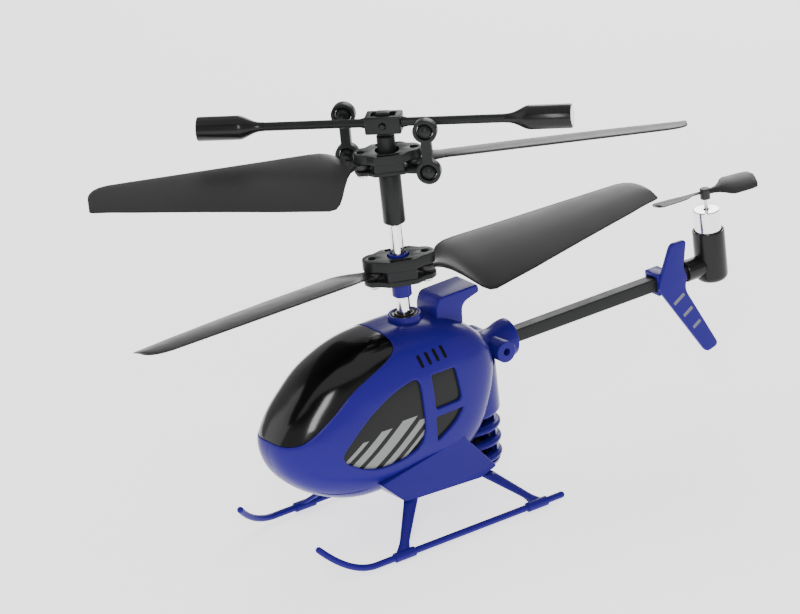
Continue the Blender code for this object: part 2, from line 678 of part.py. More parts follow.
def belly_cover():
    outline = mm_points(COVER_SIDE_MM)
    inside = [point + Vector((0, COVER_WALL)) for point in outline]
    cover = plate("belly_cover", outline, -COVER_HALF_WIDTH, COVER_HALF_WIDTH, plane="YZ")
    half = COVER_HALF_WIDTH - COVER_WALL
    knob_x, knob_y = SWITCH_KNOB[0] / 2 + GAP, SWITCH_KNOB[1] / 2 + GAP
    socket_x, socket_y = SOCKET_SIZE[0] / 2 + GAP, SOCKET_SIZE[1] / 2 + GAP
    cover = cut(
        cover,
        plate("room", inside, -half, half, plane="YZ"),
        body_solid("belly", GAP + SPLIT),
        cowl_clearance("cowl_room"),
        box("switch_slot", (-knob_x, SWITCH_Y - knob_y, -50 * MM),
            (knob_x, SWITCH_Y + SWITCH_TRAVEL + knob_y, -30 * MM)),
        box("socket_hole", (-socket_x, SOCKET_Y - socket_y, -50 * MM),
            (socket_x, SOCKET_Y + socket_y, -30 * MM)),
    )
    settle(cover, "blue_plastic")
    low = cover_bottom(SWITCH_Y) - 0.9 * MM
    high = cover_bottom(SWITCH_Y) + 1.2 * MM
    knob = box("power_switch", (-SWITCH_KNOB[0] / 2, -SWITCH_KNOB[1] / 2, low),
               (SWITCH_KNOB[0] / 2, SWITCH_KNOB[1] / 2, high))
    settle(knob, "black_plastic", location=(0, SWITCH_Y, 0))
    low = cover_bottom(SOCKET_Y) - 0.1 * MM
    socket = box("charge_socket", (-SOCKET_SIZE[0] / 2, -SOCKET_SIZE[1] / 2, low),
                 (SOCKET_SIZE[0] / 2, SOCKET_SIZE[1] / 2, low + 1.6 * MM))
    for x in (-1 * MM, 1 * MM):
        contact = cylinder("contact", (x, 0, low - 1 * MM), (x, 0, low + 1 * MM), 0.4 * MM, 8)
        socket = cut(socket, contact)
    settle(socket, "black_plastic", location=(0, SOCKET_Y, 0))


def tail_boom_mount():
    """The rear column with the flared socket that holds the boom and its screw."""
    column = tube("tail_boom_mount", COLUMN_RADIUS, COLUMN_RADIUS - COLUMN_WALL, COLUMN_BOTTOM,
                  COLUMN_TOP, 28, at=(0, COLUMN_Y, 0))
    cap = cylinder("cap", (0, COLUMN_Y, COLUMN_TOP - COLUMN_WALL), (0, COLUMN_Y, COLUMN_TOP),
                   COLUMN_RADIUS - BITE, 28)
    front = box("front", (-20 * MM, -20 * MM, -60 * MM), (20 * MM, COLUMN_FRONT_Y, 0))
    column = cut(join(column, cap), front)
    waist_y = BOSS_Y
    # Listed from the rim forwards: +Y is the top of the turned profile.
    profile = [(0, SOCKET_RIM_Y), (SOCKET_RIM_RADIUS, SOCKET_RIM_Y),
               (SOCKET_RIM_RADIUS - 0.25 * MM, SOCKET_RIM_Y - 1.6 * MM),
               (SOCKET_WAIST_RADIUS + 0.2 * MM, waist_y + 2.2 * MM), (SOCKET_WAIST_RADIUS, waist_y),
               (SOCKET_ROOT_RADIUS, SOCKET_START_Y + 0.9 * MM), (SOCKET_ROOT_RADIUS, SOCKET_START_Y),
               (0, SOCKET_START_Y)]
    horn = turned("horn", profile, 24, "Y", at=(0, 0, BOOM_AXIS_Z))
    boss = cylinder("boss", (-BOSS_REACH, BOSS_Y, BOOM_AXIS_Z), (BOSS_REACH, BOSS_Y, BOOM_AXIS_Z),
                    BOSS_RADIUS, 20)
    bore = cylinder("bore", (0, SOCKET_START_Y - 1 * MM, BOOM_AXIS_Z),
                    (0, SOCKET_RIM_Y + 1 * MM, BOOM_AXIS_Z), BOOM_WIDTH * 0.675 + GAP, 20)
    hole = cylinder("hole", (-BOSS_REACH - 1 * MM, BOSS_Y, BOOM_AXIS_Z),
                    (BOSS_REACH + 1 * MM, BOSS_Y, BOOM_AXIS_Z), BOSS_HOLE_RADIUS, 12)
    sink = cylinder("sink", (-BOSS_REACH - 1 * MM, BOSS_Y, BOOM_AXIS_Z),
                    (-BOSS_REACH + 1.6 * MM, BOSS_Y, BOOM_AXIS_Z), SCREW_HEAD_RADIUS + GAP, 16)
    settle(cut(join(column, horn, boss), bore, hole, sink), "blue_plastic")


def rear_vent_cowl():
    """Ribs round a rear wall, open at the sides, over a closed cup."""
    top = COLUMN_BOTTOM - GAP
    wall_in = COWL_WALL_RADIUS - COLUMN_WALL
    rib_z = [top - 2.6 * MM - k * RIB_PITCH for k in range(RIB_COUNT)]
    profile = [(COWL_WALL_RADIUS, top)]
    for k, z in enumerate(rib_z):
        reach = COLUMN_RADIUS - 0.3 * MM - 0.2 * MM * k
        profile += [(COWL_WALL_RADIUS, z + RIB_THICKNESS / 2), (reach, z + RIB_THICKNESS * 0.2),
                    (reach, z - RIB_THICKNESS * 0.3)]
        if k < RIB_COUNT - 1:
            profile.append((COWL_WALL_RADIUS, z - RIB_THICKNESS / 2))
    floor = COWL_BOTTOM
    profile += [(COWL_WALL_RADIUS, floor + 1.0 * MM), (5.6 * MM, floor), (0, floor),
                (0, floor + 1.0 * MM), (5.2 * MM, floor + 1.0 * MM), (wall_in, floor + 1.8 * MM),
                (wall_in, top)]
    cowl = turned("rear_vent_cowl", profile, 28, at=(0, COLUMN_Y, 0), closed=True)
    front = box("front", (-20 * MM, -20 * MM, -60 * MM), (20 * MM, COWL_FRONT_Y, 0))
    cowl = cut(cowl, front)
    for side in (1, -1):
        for z in [top - 0.7 * MM] + [z - RIB_PITCH / 2 for z in rib_z[:-1]]:
            half = (RIB_PITCH - RIB_THICKNESS) / 2 - 0.1 * MM
            near, far = sorted((side * 4.6 * MM, side * 20 * MM))
            vent = box("vent", (near, COWL_FRONT_Y - 1 * MM, z - half),
                       (far, COLUMN_Y + 4.2 * MM, z + half))
            cowl = cut(cowl, vent)
    settle(cowl, "blue_plastic")


# ---------------------------------------------------------------- inside the body

def main_frame():
    low, high = LOWER_DECK_Z
    front, rear = BOARD_Y - BOARD[1] / 2 - 1 * MM, MOTOR_REACH + MOTOR_RADIUS + 1 * MM
    outline = [(-DECK_HALF_WIDTH, front), (DECK_HALF_WIDTH, front), (DECK_HALF_WIDTH, -12 * MM),
               (FRAME_HALF_WIDTH, -9 * MM), (DECK_WING, -7.5 * MM), (DECK_WING, -4.5 * MM),
               (FRAME_HALF_WIDTH, -3 * MM), (FRAME_HALF_WIDTH, 3 * MM), (DECK_HALF_WIDTH, 7 * MM),
               (DECK_HALF_WIDTH, rear)]
    outline += [(-x, y) for x, y in reversed(outline[2:])]
    pinion_room = GEAR_MODULE * (PINION_TEETH / 2 + 1) + GAP
    holes = [circle((0, 0), INNER_SHAFT_RADIUS + 1.5 * MM), circle((0, MOTOR_REACH), pinion_room),
             circle((0, -MOTOR_REACH), pinion_room)]
    frame = plate("main_frame", outline, low, high, holes)
    top = box("top_deck", (-FRAME_HALF_WIDTH, -3 * MM, UPPER_DECK_Z[0]),
              (FRAME_HALF_WIDTH, 3 * MM, UPPER_DECK_Z[1]))
    parts = [top]
    for side in (1, -1):
        near, far = sorted((side * (FRAME_HALF_WIDTH - POST_THICKNESS), side * FRAME_HALF_WIDTH))
        parts.append(box("post", (near, -2 * MM, low + BITE), (far, 2 * MM, UPPER_DECK_Z[1] - BITE)))
    shaft_room = cylinder("shaft_room", (0, 0, UPPER_DECK_Z[0] - 1 * MM),
                          (0, 0, UPPER_DECK_Z[1] + 1 * MM), OUTER_SHAFT_RADIUS + GAP, 16)
    settle(cut(join(frame, *parts), shaft_room), "black_plastic")


def bearings():
    settle(tube("upper_mast_bearing", BEARING_RADIUS, OUTER_SHAFT_RADIUS + GAP,
                UPPER_DECK_Z[1] + GAP, BEARING_TOP), "black_plastic")
    settle(tube("lower_mast_bearing", INNER_SHAFT_RADIUS + 1.5 * MM - GAP, INNER_SHAFT_RADIUS + GAP,
                LOWER_DECK_Z[0], LOWER_DECK_Z[1] + 0.6 * MM, 16), "brass")


def battery_and_board():
    top = LOWER_DECK_Z[0] - GAP
    pack = box("battery", (-BATTERY[0] / 2, BATTERY_Y - BATTERY[1] / 2, top - BATTERY[2]),
               (BATTERY[0] / 2, BATTERY_Y + BATTERY[1] / 2, top))
    edge = pack.modifiers.new("Soft edges", "BEVEL")
    edge.width = 1.2 * MM
    edge.segments = 2
    settle(baked(pack), "foil")
    low = LOWER_DECK_Z[1] + GAP
    board = box("circuit_board", (-BOARD[0] / 2, BOARD_Y - BOARD[1] / 2, low),
                (BOARD[0] / 2, BOARD_Y + BOARD[1] / 2, low + BOARD[2]))
    chips = ((0, -3.5, 2.2, 2.2, 1.0), (3.2, 3.0, 1.4, 2.0, 0.8), (-3.4, 3.2, 1.2, 1.2, 1.6))
    for x, y, half_x, half_y, height in chips:
        corner = Vector((x * MM, BOARD_Y + y * MM, low + BOARD[2]))
        half = Vector((half_x * MM, half_y * MM, BITE))
        chip = box("chip", corner - half, corner + Vector((half.x, half.y, height * MM)))
        board = join(board, chip)
    settle(board, "green_board")


def gear_outline(teeth, phase):
    """Straight-sided teeth, thin enough to leave backlash and short enough to clear the roots."""
    pitch_radius = GEAR_MODULE * teeth / 2
    points = []
    for k in range(teeth):
        middle = phase + 2 * math.pi * k / teeth
        step = math.pi / teeth
        root, tip = pitch_radius - 1.15 * GEAR_MODULE, pitch_radius + 0.8 * GEAR_MODULE
        for radius, share in ((root, -0.58), (tip, -0.2), (tip, 0.2), (root, 0.58)):
            angle = middle + share * step
            points.append((radius * math.cos(angle), radius * math.sin(angle)))
    return points


def gears():
    half = GEAR_THICKNESS / 2
    for name, z, shaft, rise in (("outer_shaft_gear", OUTER_GEAR_Z, OUTER_SHAFT_RADIUS, 0.9 * MM),
                                 ("inner_shaft_gear", INNER_GEAR_Z, INNER_SHAFT_RADIUS, 1.6 * MM)):
        bore = shaft + GAP
        gear = plate(name, gear_outline(GEAR_TEETH, math.pi / 2), z - half, z + half,
                     [circle((0, 0), bore, 12)])
        hub = tube("hub", bore + 1.2 * MM, bore, z, z + half + rise, 12)
        settle(join(gear, hub), "white_nylon")
    motor_top = LOWER_DECK_Z[0] - GAP
    for name, z, side in (("front_pinion", OUTER_GEAR_Z, -1), ("rear_pinion", INNER_GEAR_Z, 1)):
        half_pitch = math.pi / PINION_TEETH
        pinion = plate(name, gear_outline(PINION_TEETH, half_pitch + math.pi / 2),
                       z - half - 0.3 * MM, z + half + 0.3 * MM)
        shaft = cylinder("shaft", (0, 0, motor_top - 1.5 * MM), (0, 0, z), MOTOR_SHAFT_RADIUS, 10)
        settle(join(pinion, shaft), "brass", location=(0, side * MOTOR_REACH, 0))


def motors():
    top = LOWER_DECK_Z[0] - GAP
    for name, side in (("front_motor", -1), ("rear_motor", 1)):
        low = top - MOTOR_LENGTH
        room = MOTOR_SHAFT_RADIUS + GAP
        profile = [(room, top), (MOTOR_RADIUS - 0.4 * MM, top), (MOTOR_RADIUS, top - 0.4 * MM),
                   (MOTOR_RADIUS, low + 0.4 * MM), (MOTOR_RADIUS - 0.4 * MM, low), (0, low),
                   (0, top - 2 * MM), (room, top - 2 * MM)]
        motor = turned(name, profile, 20, at=(0, side * MOTOR_REACH, 0), closed=True)
        settle(motor, "steel")


# ---------------------------------------------------------------- mast and rotors

def shafts():
    settle(tube("outer_shaft", OUTER_SHAFT_RADIUS, INNER_SHAFT_RADIUS + GAP, OUTER_SHAFT_BOTTOM,
                OUTER_SHAFT_TOP, 16), "steel")
    settle(cylinder("inner_shaft", (0, 0, INNER_SHAFT_BOTTOM), (0, 0, INNER_SHAFT_TOP),
                    INNER_SHAFT_RADIUS, 12), "steel")
    settle(tube("lower_hub_sleeve", SLEEVE_RADIUS, OUTER_SHAFT_RADIUS + GAP, SLEEVE_BOTTOM,
                LOWER_HUB_Z[3] + 0.5 * MM, 16), "blue_plastic")


def hub_plate(name, half_length, low, high, extra_holes=()):
    """A plate with a lobe at each end and a hole in each lobe for the blade's screw."""
    wide, waist = HUB_HALF_WIDTH, HUB_HALF_WIDTH * 0.55
    outline = [(-half_length, -waist), (-4.4 * MM, -wide), (4.4 * MM, -wide),
               (half_length, -waist), (half_length, waist), (4.4 * MM, wide),
               (-4.4 * MM, wide), (-half_length, waist)]
    holes = [circle((side * HUB_HOLE_REACH, 0), SCREW_RADIUS + GAP, 10) for side in (1, -1)]
    return plate(name, rounded(outline, 2.2 * MM, 2), low, high, [*holes, *extra_holes])


def rotor_hub(name, half_length, heights, window):
    """Two lobed plates on a block with a square window, which leaves room for the blade roots."""
    low, lower_top, upper_low, high = heights
    square = [rectangle(window, window)]
    hub = hub_plate(name, half_length, low, lower_top, square)
    block = plate("block", rectangle(HUB_BLOCK_HALF_LENGTH, HUB_HALF_WIDTH), low + BITE, high - BITE,
                  square)
    slots = [rectangle(1.6 * MM, 0.35 * MM, (0, side * (HUB_HALF_WIDTH - 0.75 * MM)))
             for side in (1, -1)]
    top = hub_plate("top", half_length, upper_low, high, square + slots)
    slot_cuts = [box("slot", (-1.6 * MM, side * (HUB_HALF_WIDTH - 0.75 * MM) - 0.35 * MM, upper_low),
                     (1.6 * MM, side * (HUB_HALF_WIDTH - 0.75 * MM) + 0.35 * MM, high + 1 * MM))
                 for side in (1, -1)]
    return cut(join(hub, block, top), *slot_cuts)


def blade_section(at, ahead, behind, pitch, thickness, sense):
    """One ring of a blade: over the top from the leading edge, then back underneath."""
    rise = math.tan(math.radians(pitch))
    over, under = [], []
    for share, fullness in zip(SECTION_CHORDWISE, SECTION_THICKNESS):
        y = ahead - share * (ahead + behind)
        half = thickness * fullness / 2
        over.append((at, sense * y, y * rise + half))
        under.append((at, sense * y, y * rise - half))
    return over + under[::-1]


def rotor_blade(name, sense, middle_z, disc_half):
    """A blade that reaches along +X from its screw. A sense of 1 turns anticlockwise."""
    sections = list(BLADE_ROOT_SECTIONS)
    sections += [(share * BLADE_SPAN, *rest) for share, *rest in BLADE_SPAN_SECTIONS]
    blade = loft(name, [blade_section(*section, sense) for section in sections])
    disc = cylinder("disc", (0, 0, -disc_half), (0, 0, disc_half), BLADE_DISC_RADIUS, 20)
    hole = cylinder("hole", (0, 0, -3 * MM), (0, 0, 3 * MM), SCREW_RADIUS + GAP, 10)
    blade = cut(join(blade, disc), hole)
    blade.data.transform(Matrix.Translation((0, 0, middle_z)))
    return blade


def blade_screw(name, heights):
    """A screw from below; its tip stays under the hub's top face."""
    low, high = heights[0], heights[3]
    head = low - GAP
    profile = [(0, high - 0.8 * MM), (SCREW_RADIUS, high - 0.8 * MM), (SCREW_RADIUS, head),
               (SCREW_HEAD_RADIUS, head), (SCREW_HEAD_RADIUS, head - SCREW_HEAD_HEIGHT),
               (0, head - SCREW_HEAD_HEIGHT)]
    return turned(name, profile, 10)


def blades_and_screws(prefix, carrier, heights, sense, swing):
    middle = (heights[1] + heights[2]) / 2
    disc_half = (heights[2] - heights[1]) / 2 - GAP
    for letter, base in (("a", 0.0), ("b", 180.0)):
        reach = Matrix.Rotation(math.radians(base), 3, "Z") @ Vector((HUB_HOLE_REACH, 0, 0))
        blade = rotor_blade(f"{prefix}_blade_{letter}", sense, middle, disc_half)
        settle(blade, "blade_plastic", carrier, reach, base + swing)
        screw = blade_screw(f"{prefix}_blade_screw_{letter}", heights)
        settle(screw, "steel", carrier, reach)


def lower_rotor():
    carrier = empty("lower_rotor", AIRFRAME, turn=LOWER_HUB_ANGLE)
    hub = rotor_hub("lower_rotor_hub", LOWER_HUB_HALF_LENGTH, LOWER_HUB_Z, SLEEVE_RADIUS + GAP)
    settle(hub, "black_plastic", carrier)
    blades_and_screws("lower", carrier, LOWER_HUB_Z, 1, LOWER_BLADE_SWING)


def link_ball(side):
    """Where a link's balls stand, in the flybar's own directions."""
    return Vector((side * LINK_REACH, -side * LINK_OFFSET))


def upper_rotor():
    carrier = empty("upper_rotor_hub_tilt", AIRFRAME, turn=UPPER_HUB_ANGLE)
    hub = rotor_hub("upper_rotor_hub", UPPER_HUB_HALF_LENGTH, UPPER_HUB_Z,
                    NECK_RADIUS + GAP + HUB_TILT_CLEARANCE)
    turn = math.radians(FLYBAR_ANGLE - UPPER_HUB_ANGLE)
    to_hub = Matrix.Rotation(turn, 2)
    arm_z = UPPER_HUB_Z[0] + ARM_HEIGHT / 2
    ball_z = FLYBAR_Z - LINK_LENGTH
    for side in (1, -1):
        at = to_hub @ link_ball(side)
        bend = to_hub @ (link_ball(side) + Vector((0, side * 3.0 * MM)))
        root = Vector((side * 3.2 * MM, -side * 2.6 * MM))
        way = bend - root
        arm = box("arm", (-0.3 * MM, -ARM_WIDTH / 2, -ARM_HEIGHT / 2),
                  (way.length + ARM_WIDTH / 2, ARM_WIDTH / 2, ARM_HEIGHT / 2))
        arm.data.transform(Matrix.Translation((root.x, root.y, arm_z))
                           @ Matrix.Rotation(math.atan2(way.y, way.x), 4, "Z"))
        stud = cylinder("stud", (bend.x, bend.y, ball_z), (at.x, at.y, ball_z), STUD_RADIUS, 10)
        riser = cylinder("riser", (bend.x, bend.y, UPPER_HUB_Z[0]), (bend.x, bend.y, ball_z + BITE),
                         STUD_RADIUS + 0.1 * MM, 10)
        hub = join(hub, arm, riser, stud, ball("ball", (at.x, at.y, ball_z), BALL_RADIUS))
    pin_way = to_hub @ Vector((0, 1))
    reach = 12 * MM
    pin_hole = cylinder("pin_hole", (*(-pin_way * reach), HUB_TILT_Z), (*(pin_way * reach), HUB_TILT_Z),
                        HUB_PIN_RADIUS + GAP, 10)
    settle(cut(hub, pin_hole), "black_plastic", carrier)
    blades_and_screws("upper", carrier, UPPER_HUB_Z, -1, UPPER_BLADE_SWING)


def rotor_head():
    """The sleeve on the inner shaft, its neck through the hub and the tongue in the flybar."""
    bore = INNER_SHAFT_RADIUS + GAP
    profile = [(0, NECK_TOP), (NECK_RADIUS, NECK_TOP), (NECK_RADIUS, HEAD_SHOULDER),
               (HEAD_RADIUS, HEAD_SHOULDER), (HEAD_RADIUS, HEAD_BOTTOM), (bore, HEAD_BOTTOM),
               (bore, INNER_SHAFT_TOP + GAP), (0, INNER_SHAFT_TOP + GAP)]
    head = turned("rotor_head", profile, 20, closed=True)
    half = TONGUE_WIDTH / 2
    corner = 0.5 * MM
    arch = [(-half, NECK_TOP - BITE), (half, NECK_TOP - BITE), (half, TONGUE_TOP - corner),
            (half - corner, TONGUE_TOP), (corner - half, TONGUE_TOP), (-half, TONGUE_TOP - corner)]
    stand = Matrix(((1, 0, 0, 0), (0, 0, -1, 0), (0, 1, 0, 0), (0, 0, 0, 1)))
    tongue = plate("tongue", arch, -TONGUE_THICKNESS / 2, TONGUE_THICKNESS / 2, plane=stand)
    head = join(head, tongue)
    for z, radius in ((HUB_TILT_Z, HUB_PIN_RADIUS), (FLYBAR_Z, FLYBAR_PIN_RADIUS)):
        hole = cylinder("hole", (0, -6 * MM, z), (0, 6 * MM, z), radius + GAP, 10)
        head = cut(head, hole)
    carrier = empty("upper_rotor", AIRFRAME, turn=FLYBAR_ANGLE)
    settle(head, "black_plastic", carrier)
    for name, z, radius, half in (("hub_tilt_pin", HUB_TILT_Z, HUB_PIN_RADIUS, 4.2 * MM),
                                  ("flybar_pin", FLYBAR_Z, FLYBAR_PIN_RADIUS, FLYBAR_PIN_HALF_LENGTH)):
        pin = cylinder(name, (0, -half, 0), (0, half, 0), radius, 10)
        settle(pin, "steel", carrier, (0, 0, z))


def flybar():
    """Modelled about its pin: the rod runs along X and the pin along Y."""
    carrier = empty("flybar_teeter", AIRFRAME, (0, 0, FLYBAR_Z), FLYBAR_ANGLE)
    half = Vector(FLYBAR_BLOCK) / 2
    bar = box("flybar", -half, half)
    inner = half.x - 0.6 * MM
    outer = FLYBAR_HALF_LENGTH - WEIGHT_LENGTH + 4 * MM
    for side in (1, -1):
        rod = cylinder("rod", (side * inner, 0, 0), (side * outer, 0, 0), FLYBAR_ROD_RADIUS, 12)
        at = link_ball(side)
        stud = cylinder("stud", (at.x, 0, 0), (at.x, at.y, 0), STUD_RADIUS, 10)
        bar = join(bar, rod, stud, ball("ball", (at.x, at.y, 0), BALL_RADIUS))
    slot_half = TONGUE_THICKNESS / 2 + GAP
    slot = box("slot", (-FLYBAR_SLOT_HALF_LENGTH, -slot_half, -9 * MM),
               (FLYBAR_SLOT_HALF_LENGTH, slot_half, 9 * MM))
    hole = cylinder("hole", (0, -6 * MM, 0), (0, 6 * MM, 0), FLYBAR_PIN_RADIUS + GAP, 10)
    settle(cut(bar, slot, hole), "black_plastic", carrier)
    body, neck = FLYBAR_HALF_LENGTH - WEIGHT_LENGTH, FLYBAR_HALF_LENGTH - WEIGHT_LENGTH - WEIGHT_TAPER
    bore = FLYBAR_ROD_RADIUS + GAP
    profile = [(0, FLYBAR_HALF_LENGTH), (WEIGHT_RADIUS, FLYBAR_HALF_LENGTH), (WEIGHT_RADIUS, body),
               (bore + 0.75 * MM, body - WEIGHT_TAPER * 0.35), (bore + 0.3 * MM, neck), (bore, neck),
               (bore, outer + GAP), (0, outer + GAP)]
    for letter, side in (("a", 1), ("b", -1)):
        weight = turned(f"flybar_weight_{letter}", profile, 20, "X", closed=True)
        if side < 0:
            weight.data.transform(Matrix.Rotation(math.pi, 4, "Z"))
        settle(weight, "black_plastic", carrier)
    flybar_links(carrier)


def flybar_links(carrier):
    """Dog bones with an eye round the flybar's ball above and the hub's ball below."""
    stem = LINK_WIDTH / 2
    join_angle = math.asin(stem / LINK_EYE_RADIUS)
    outline = []
    for centre, start in ((0.0, -math.pi / 2 + join_angle), (-LINK_LENGTH, math.pi / 2 + join_angle)):
        sweep = 2 * (math.pi - join_angle)
        for k in range(15):
            angle = start + sweep * k / 14
            outline.append((LINK_EYE_RADIUS * math.cos(angle), centre + LINK_EYE_RADIUS * math.sin(angle)))
    eye = BALL_RADIUS + GAP
    holes = [circle((0, 0), eye, 14), circle((0, -LINK_LENGTH), eye, 14)]
    stand = Matrix(((1, 0, 0, 0), (0, 0, -1, 0), (0, 1, 0, 0), (0, 0, 0, 1)))
    for letter, side in (("a", 1), ("b", -1)):
        bone = plate(f"flybar_link_{letter}", outline, -LINK_WIDTH / 2, LINK_WIDTH / 2, holes, stand)
        settle(bone, "black_plastic", carrier, (*link_ball(side), 0))


# ---------------------------------------------------------------- tail

def tail_boom():
    half = BOOM_WIDTH / 2
    end = TAIL_ARM - TAIL_HOUSING_RADIUS - GAP
    outline = rounded(rectangle(half, half), BOOM_CORNER, 1)
    stand = Matrix(((1, 0, 0, 0), (0, 0, -1, 0), (0, 1, 0, 0), (0, 0, 0, 1)))
    boom = plate("tail_boom", outline, -end, -BOOM_START_Y, [circle((0, 0), BOOM_BORE / 2, 8)], stand)
    boom.data.transform(Matrix.Translation((0, 0, BOOM_AXIS_Z)))
    hole = cylinder("hole", (-4 * MM, BOSS_Y, BOOM_AXIS_Z), (4 * MM, BOSS_Y, BOOM_AXIS_Z),
                    BOSS_HOLE_RADIUS, 10)
    settle(cut(boom, hole), "black_plastic")
    head = -BOSS_REACH + 0.3 * MM
    seat = -BOSS_REACH + 1.3 * MM
    profile = [(0, 4.5 * MM), (0.55 * MM, 4.5 * MM), (0.55 * MM, seat), (SCREW_HEAD_RADIUS, seat),
               (SCREW_HEAD_RADIUS, head), (0, head)]
    settle(turned("boom_screw", profile, 12, "X", at=(0, BOSS_Y, BOOM_AXIS_Z)), "steel")


def tail_fin():
    room = BOOM_WIDTH / 2 + GAP
    fin = plate("tail_fin", rounded(mm_points(FIN_SIDE_MM), FIN_CORNER, 3), room,
                room + FIN_THICKNESS, plane="YZ")
    outer = room + FIN_CLIP_WALL
    clip = box("clip", (-outer, FIN_CLIP_Y[0], BOOM_AXIS_Z - outer),
               (room + BITE, FIN_CLIP_Y[1], BOOM_AXIS_Z + outer))
    boom_room = box("boom_room", (-room, FIN_CLIP_Y[0] - 1 * MM, BOOM_AXIS_Z - room),
                    (room - 0.01 * MM, FIN_CLIP_Y[1] + 1 * MM, BOOM_AXIS_Z + room))
    settle(join(fin, cut(clip, boom_room)), "blue_plastic")


def tail_motor_group():
    at = (0, TAIL_ARM, 0)
    low, high = TAIL_HOUSING_Z
    outer, inner = TAIL_HOUSING_RADIUS, TAIL_MOTOR_RADIUS + GAP
    floor = low + 1.1 * MM
    profile = [(outer - 0.15 * MM, high), (outer, high - 0.2 * MM), (outer, low + 1.4 * MM),
               (outer - 0.5 * MM, low + 0.4 * MM), (outer - 1.4 * MM, low), (0, low), (0, floor),
               (inner, floor), (inner, high)]
    cup = turned("tail_motor_housing", profile, 24, at=at, closed=True)
    elbow_start = TAIL_ARM - ELBOW_LENGTH
    elbow_bore = math.hypot(BOOM_WIDTH / 2, BOOM_WIDTH / 2 - BOOM_CORNER) + GAP
    elbow = cylinder("elbow", (0, elbow_start, BOOM_AXIS_Z), (0, TAIL_ARM - inner - 0.1 * MM, BOOM_AXIS_Z),
                     elbow_bore + ELBOW_WALL, 20)
    bore = cylinder("bore", (0, elbow_start - 1 * MM, BOOM_AXIS_Z),
                    (0, TAIL_ARM - outer, BOOM_AXIS_Z), elbow_bore, 16)
    settle(cut(join(cup, elbow), bore), "black_plastic")
    room = TAIL_SHAFT_RADIUS + GAP
    depth = TAIL_MOTOR_TOP - 3 * MM
    base = floor + GAP
    radius = TAIL_MOTOR_RADIUS
    profile = [(room, TAIL_MOTOR_TOP), (radius, TAIL_MOTOR_TOP), (radius, base), (0, base),
               (0, depth), (room, depth)]
    settle(turned("tail_motor", profile, 24, at=at, closed=True), "steel")
    shaft = cylinder("tail_rotor_shaft", (0, 0, depth + GAP), (0, 0, TAIL_HUB_Z[1] - 0.5 * MM - GAP),
                     TAIL_SHAFT_RADIUS, 10)
    settle(shaft, "steel", location=at)
    tail_rotor(at)


def tail_rotor(at):
    low, high = TAIL_HUB_Z
    room = TAIL_SHAFT_RADIUS + GAP
    profile = [(0, high), (TAIL_HUB_RADIUS, high), (TAIL_HUB_RADIUS, low), (room, low),
               (room, high - 0.5 * MM), (0, high - 0.5 * MM)]
    rotor = turned("tail_rotor", profile, 16, closed=True)
    stretch = TAIL_ROTOR_RADIUS / (TAIL_BLADE_MM[4][0] * MM)
    outline = [(x * stretch, y) for x, y in mm_points(TAIL_BLADE_MM)]
    half = 0.3 * MM
    for side in (0, 1):
        root_gap = room + 0.15 * MM
        shape = [(max(x, root_gap), y) for x, y in outline]
        blade = plate("blade", shape, -half, half)
        blade.data.transform(Matrix.Translation((0, 0, (low + high) / 2 + 0.2 * MM))
                             @ Matrix.Rotation(side * math.pi, 4, "Z")
                             @ Matrix.Rotation(math.radians(TAIL_BLADE_PITCH), 4, "X"))
        rotor = join(rotor, blade)
    settle(rotor, "blade_plastic", location=at, turn=TAIL_ROTOR_ANGLE)


# ---------------------------------------------------------------- landing gear

def skids():
    for name, side in (("skid_left", 1), ("skid_right", -1)):
        curve = bpy.data.curves.new(name, "CURVE")
        curve.dimensions = "3D"
        curve.bevel_depth = RAIL_RADIUS
        curve.bevel_resolution = 3
        curve.use_fill_caps = True
        route = [Vector((RAIL_X, RAIL_REAR_Y, -RAIL_HEIGHT)), *mm_points(RAIL_NOSE_MM)]
        spline = curve.splines.new("POLY")
        spline.points.add(len(route) - 1)
        for slot, point in zip(spline.points, route):
            slot.co = (side * point.x, point.y, point.z, 1)
        rail = baked(link(name, curve))
        for y in (FRONT_FOOT_Y, REAR_FOOT_Y):
            vertex_radius = FOOT_RADIUS / math.cos(math.pi / FOOT_SIDES)
            foot = cylinder("foot", (side * RAIL_X, y - FOOT_LENGTH / 2, -RAIL_HEIGHT),
                            (side * RAIL_X, y + FOOT_LENGTH / 2, -RAIL_HEIGHT), vertex_radius,
                            FOOT_SIDES, roll=math.pi / FOOT_SIDES)
            rail = join(rail, foot)
        settle(rail, "blue_plastic")


def legs():
    """Tapered struts from under the belly cover to the feet on the rails."""
    places = (("leg_front", FRONT_LEG_Y, FRONT_FOOT_Y), ("leg_rear", REAR_LEG_Y, REAR_FOOT_Y))
    steps = [2 * math.pi * k / 10 for k in range(10)]
    for stem, top_y, foot_y in places:
        for word, side in (("left", 1), ("right", -1)):
            top = []
            for a in steps:
                y = top_y + LEG_TOP_SIZE[1] * math.sin(a)
                top.append((side * (LEG_TOP_X + LEG_TOP_SIZE[0] * math.cos(a)), y,
                            cover_bottom(y) - GAP))
            axis = Vector((RAIL_X, -RAIL_HEIGHT))
            up = (Vector((LEG_TOP_X, cover_bottom(top_y))) - axis).normalized()
            across = Vector((up.y, -up.x))
            centre = axis + up * (FOOT_RADIUS / math.cos(math.pi / FOOT_SIDES) + GAP)
            foot = []
            for a in steps:
                at = centre + across * (LEG_FOOT_SIZE[0] * math.cos(a))
                foot.append((side * at.x, foot_y + LEG_FOOT_SIZE[1] * math.sin(a), at.y))
            settle(loft(f"{stem}_{word}", [top, foot]), "blue_plastic")


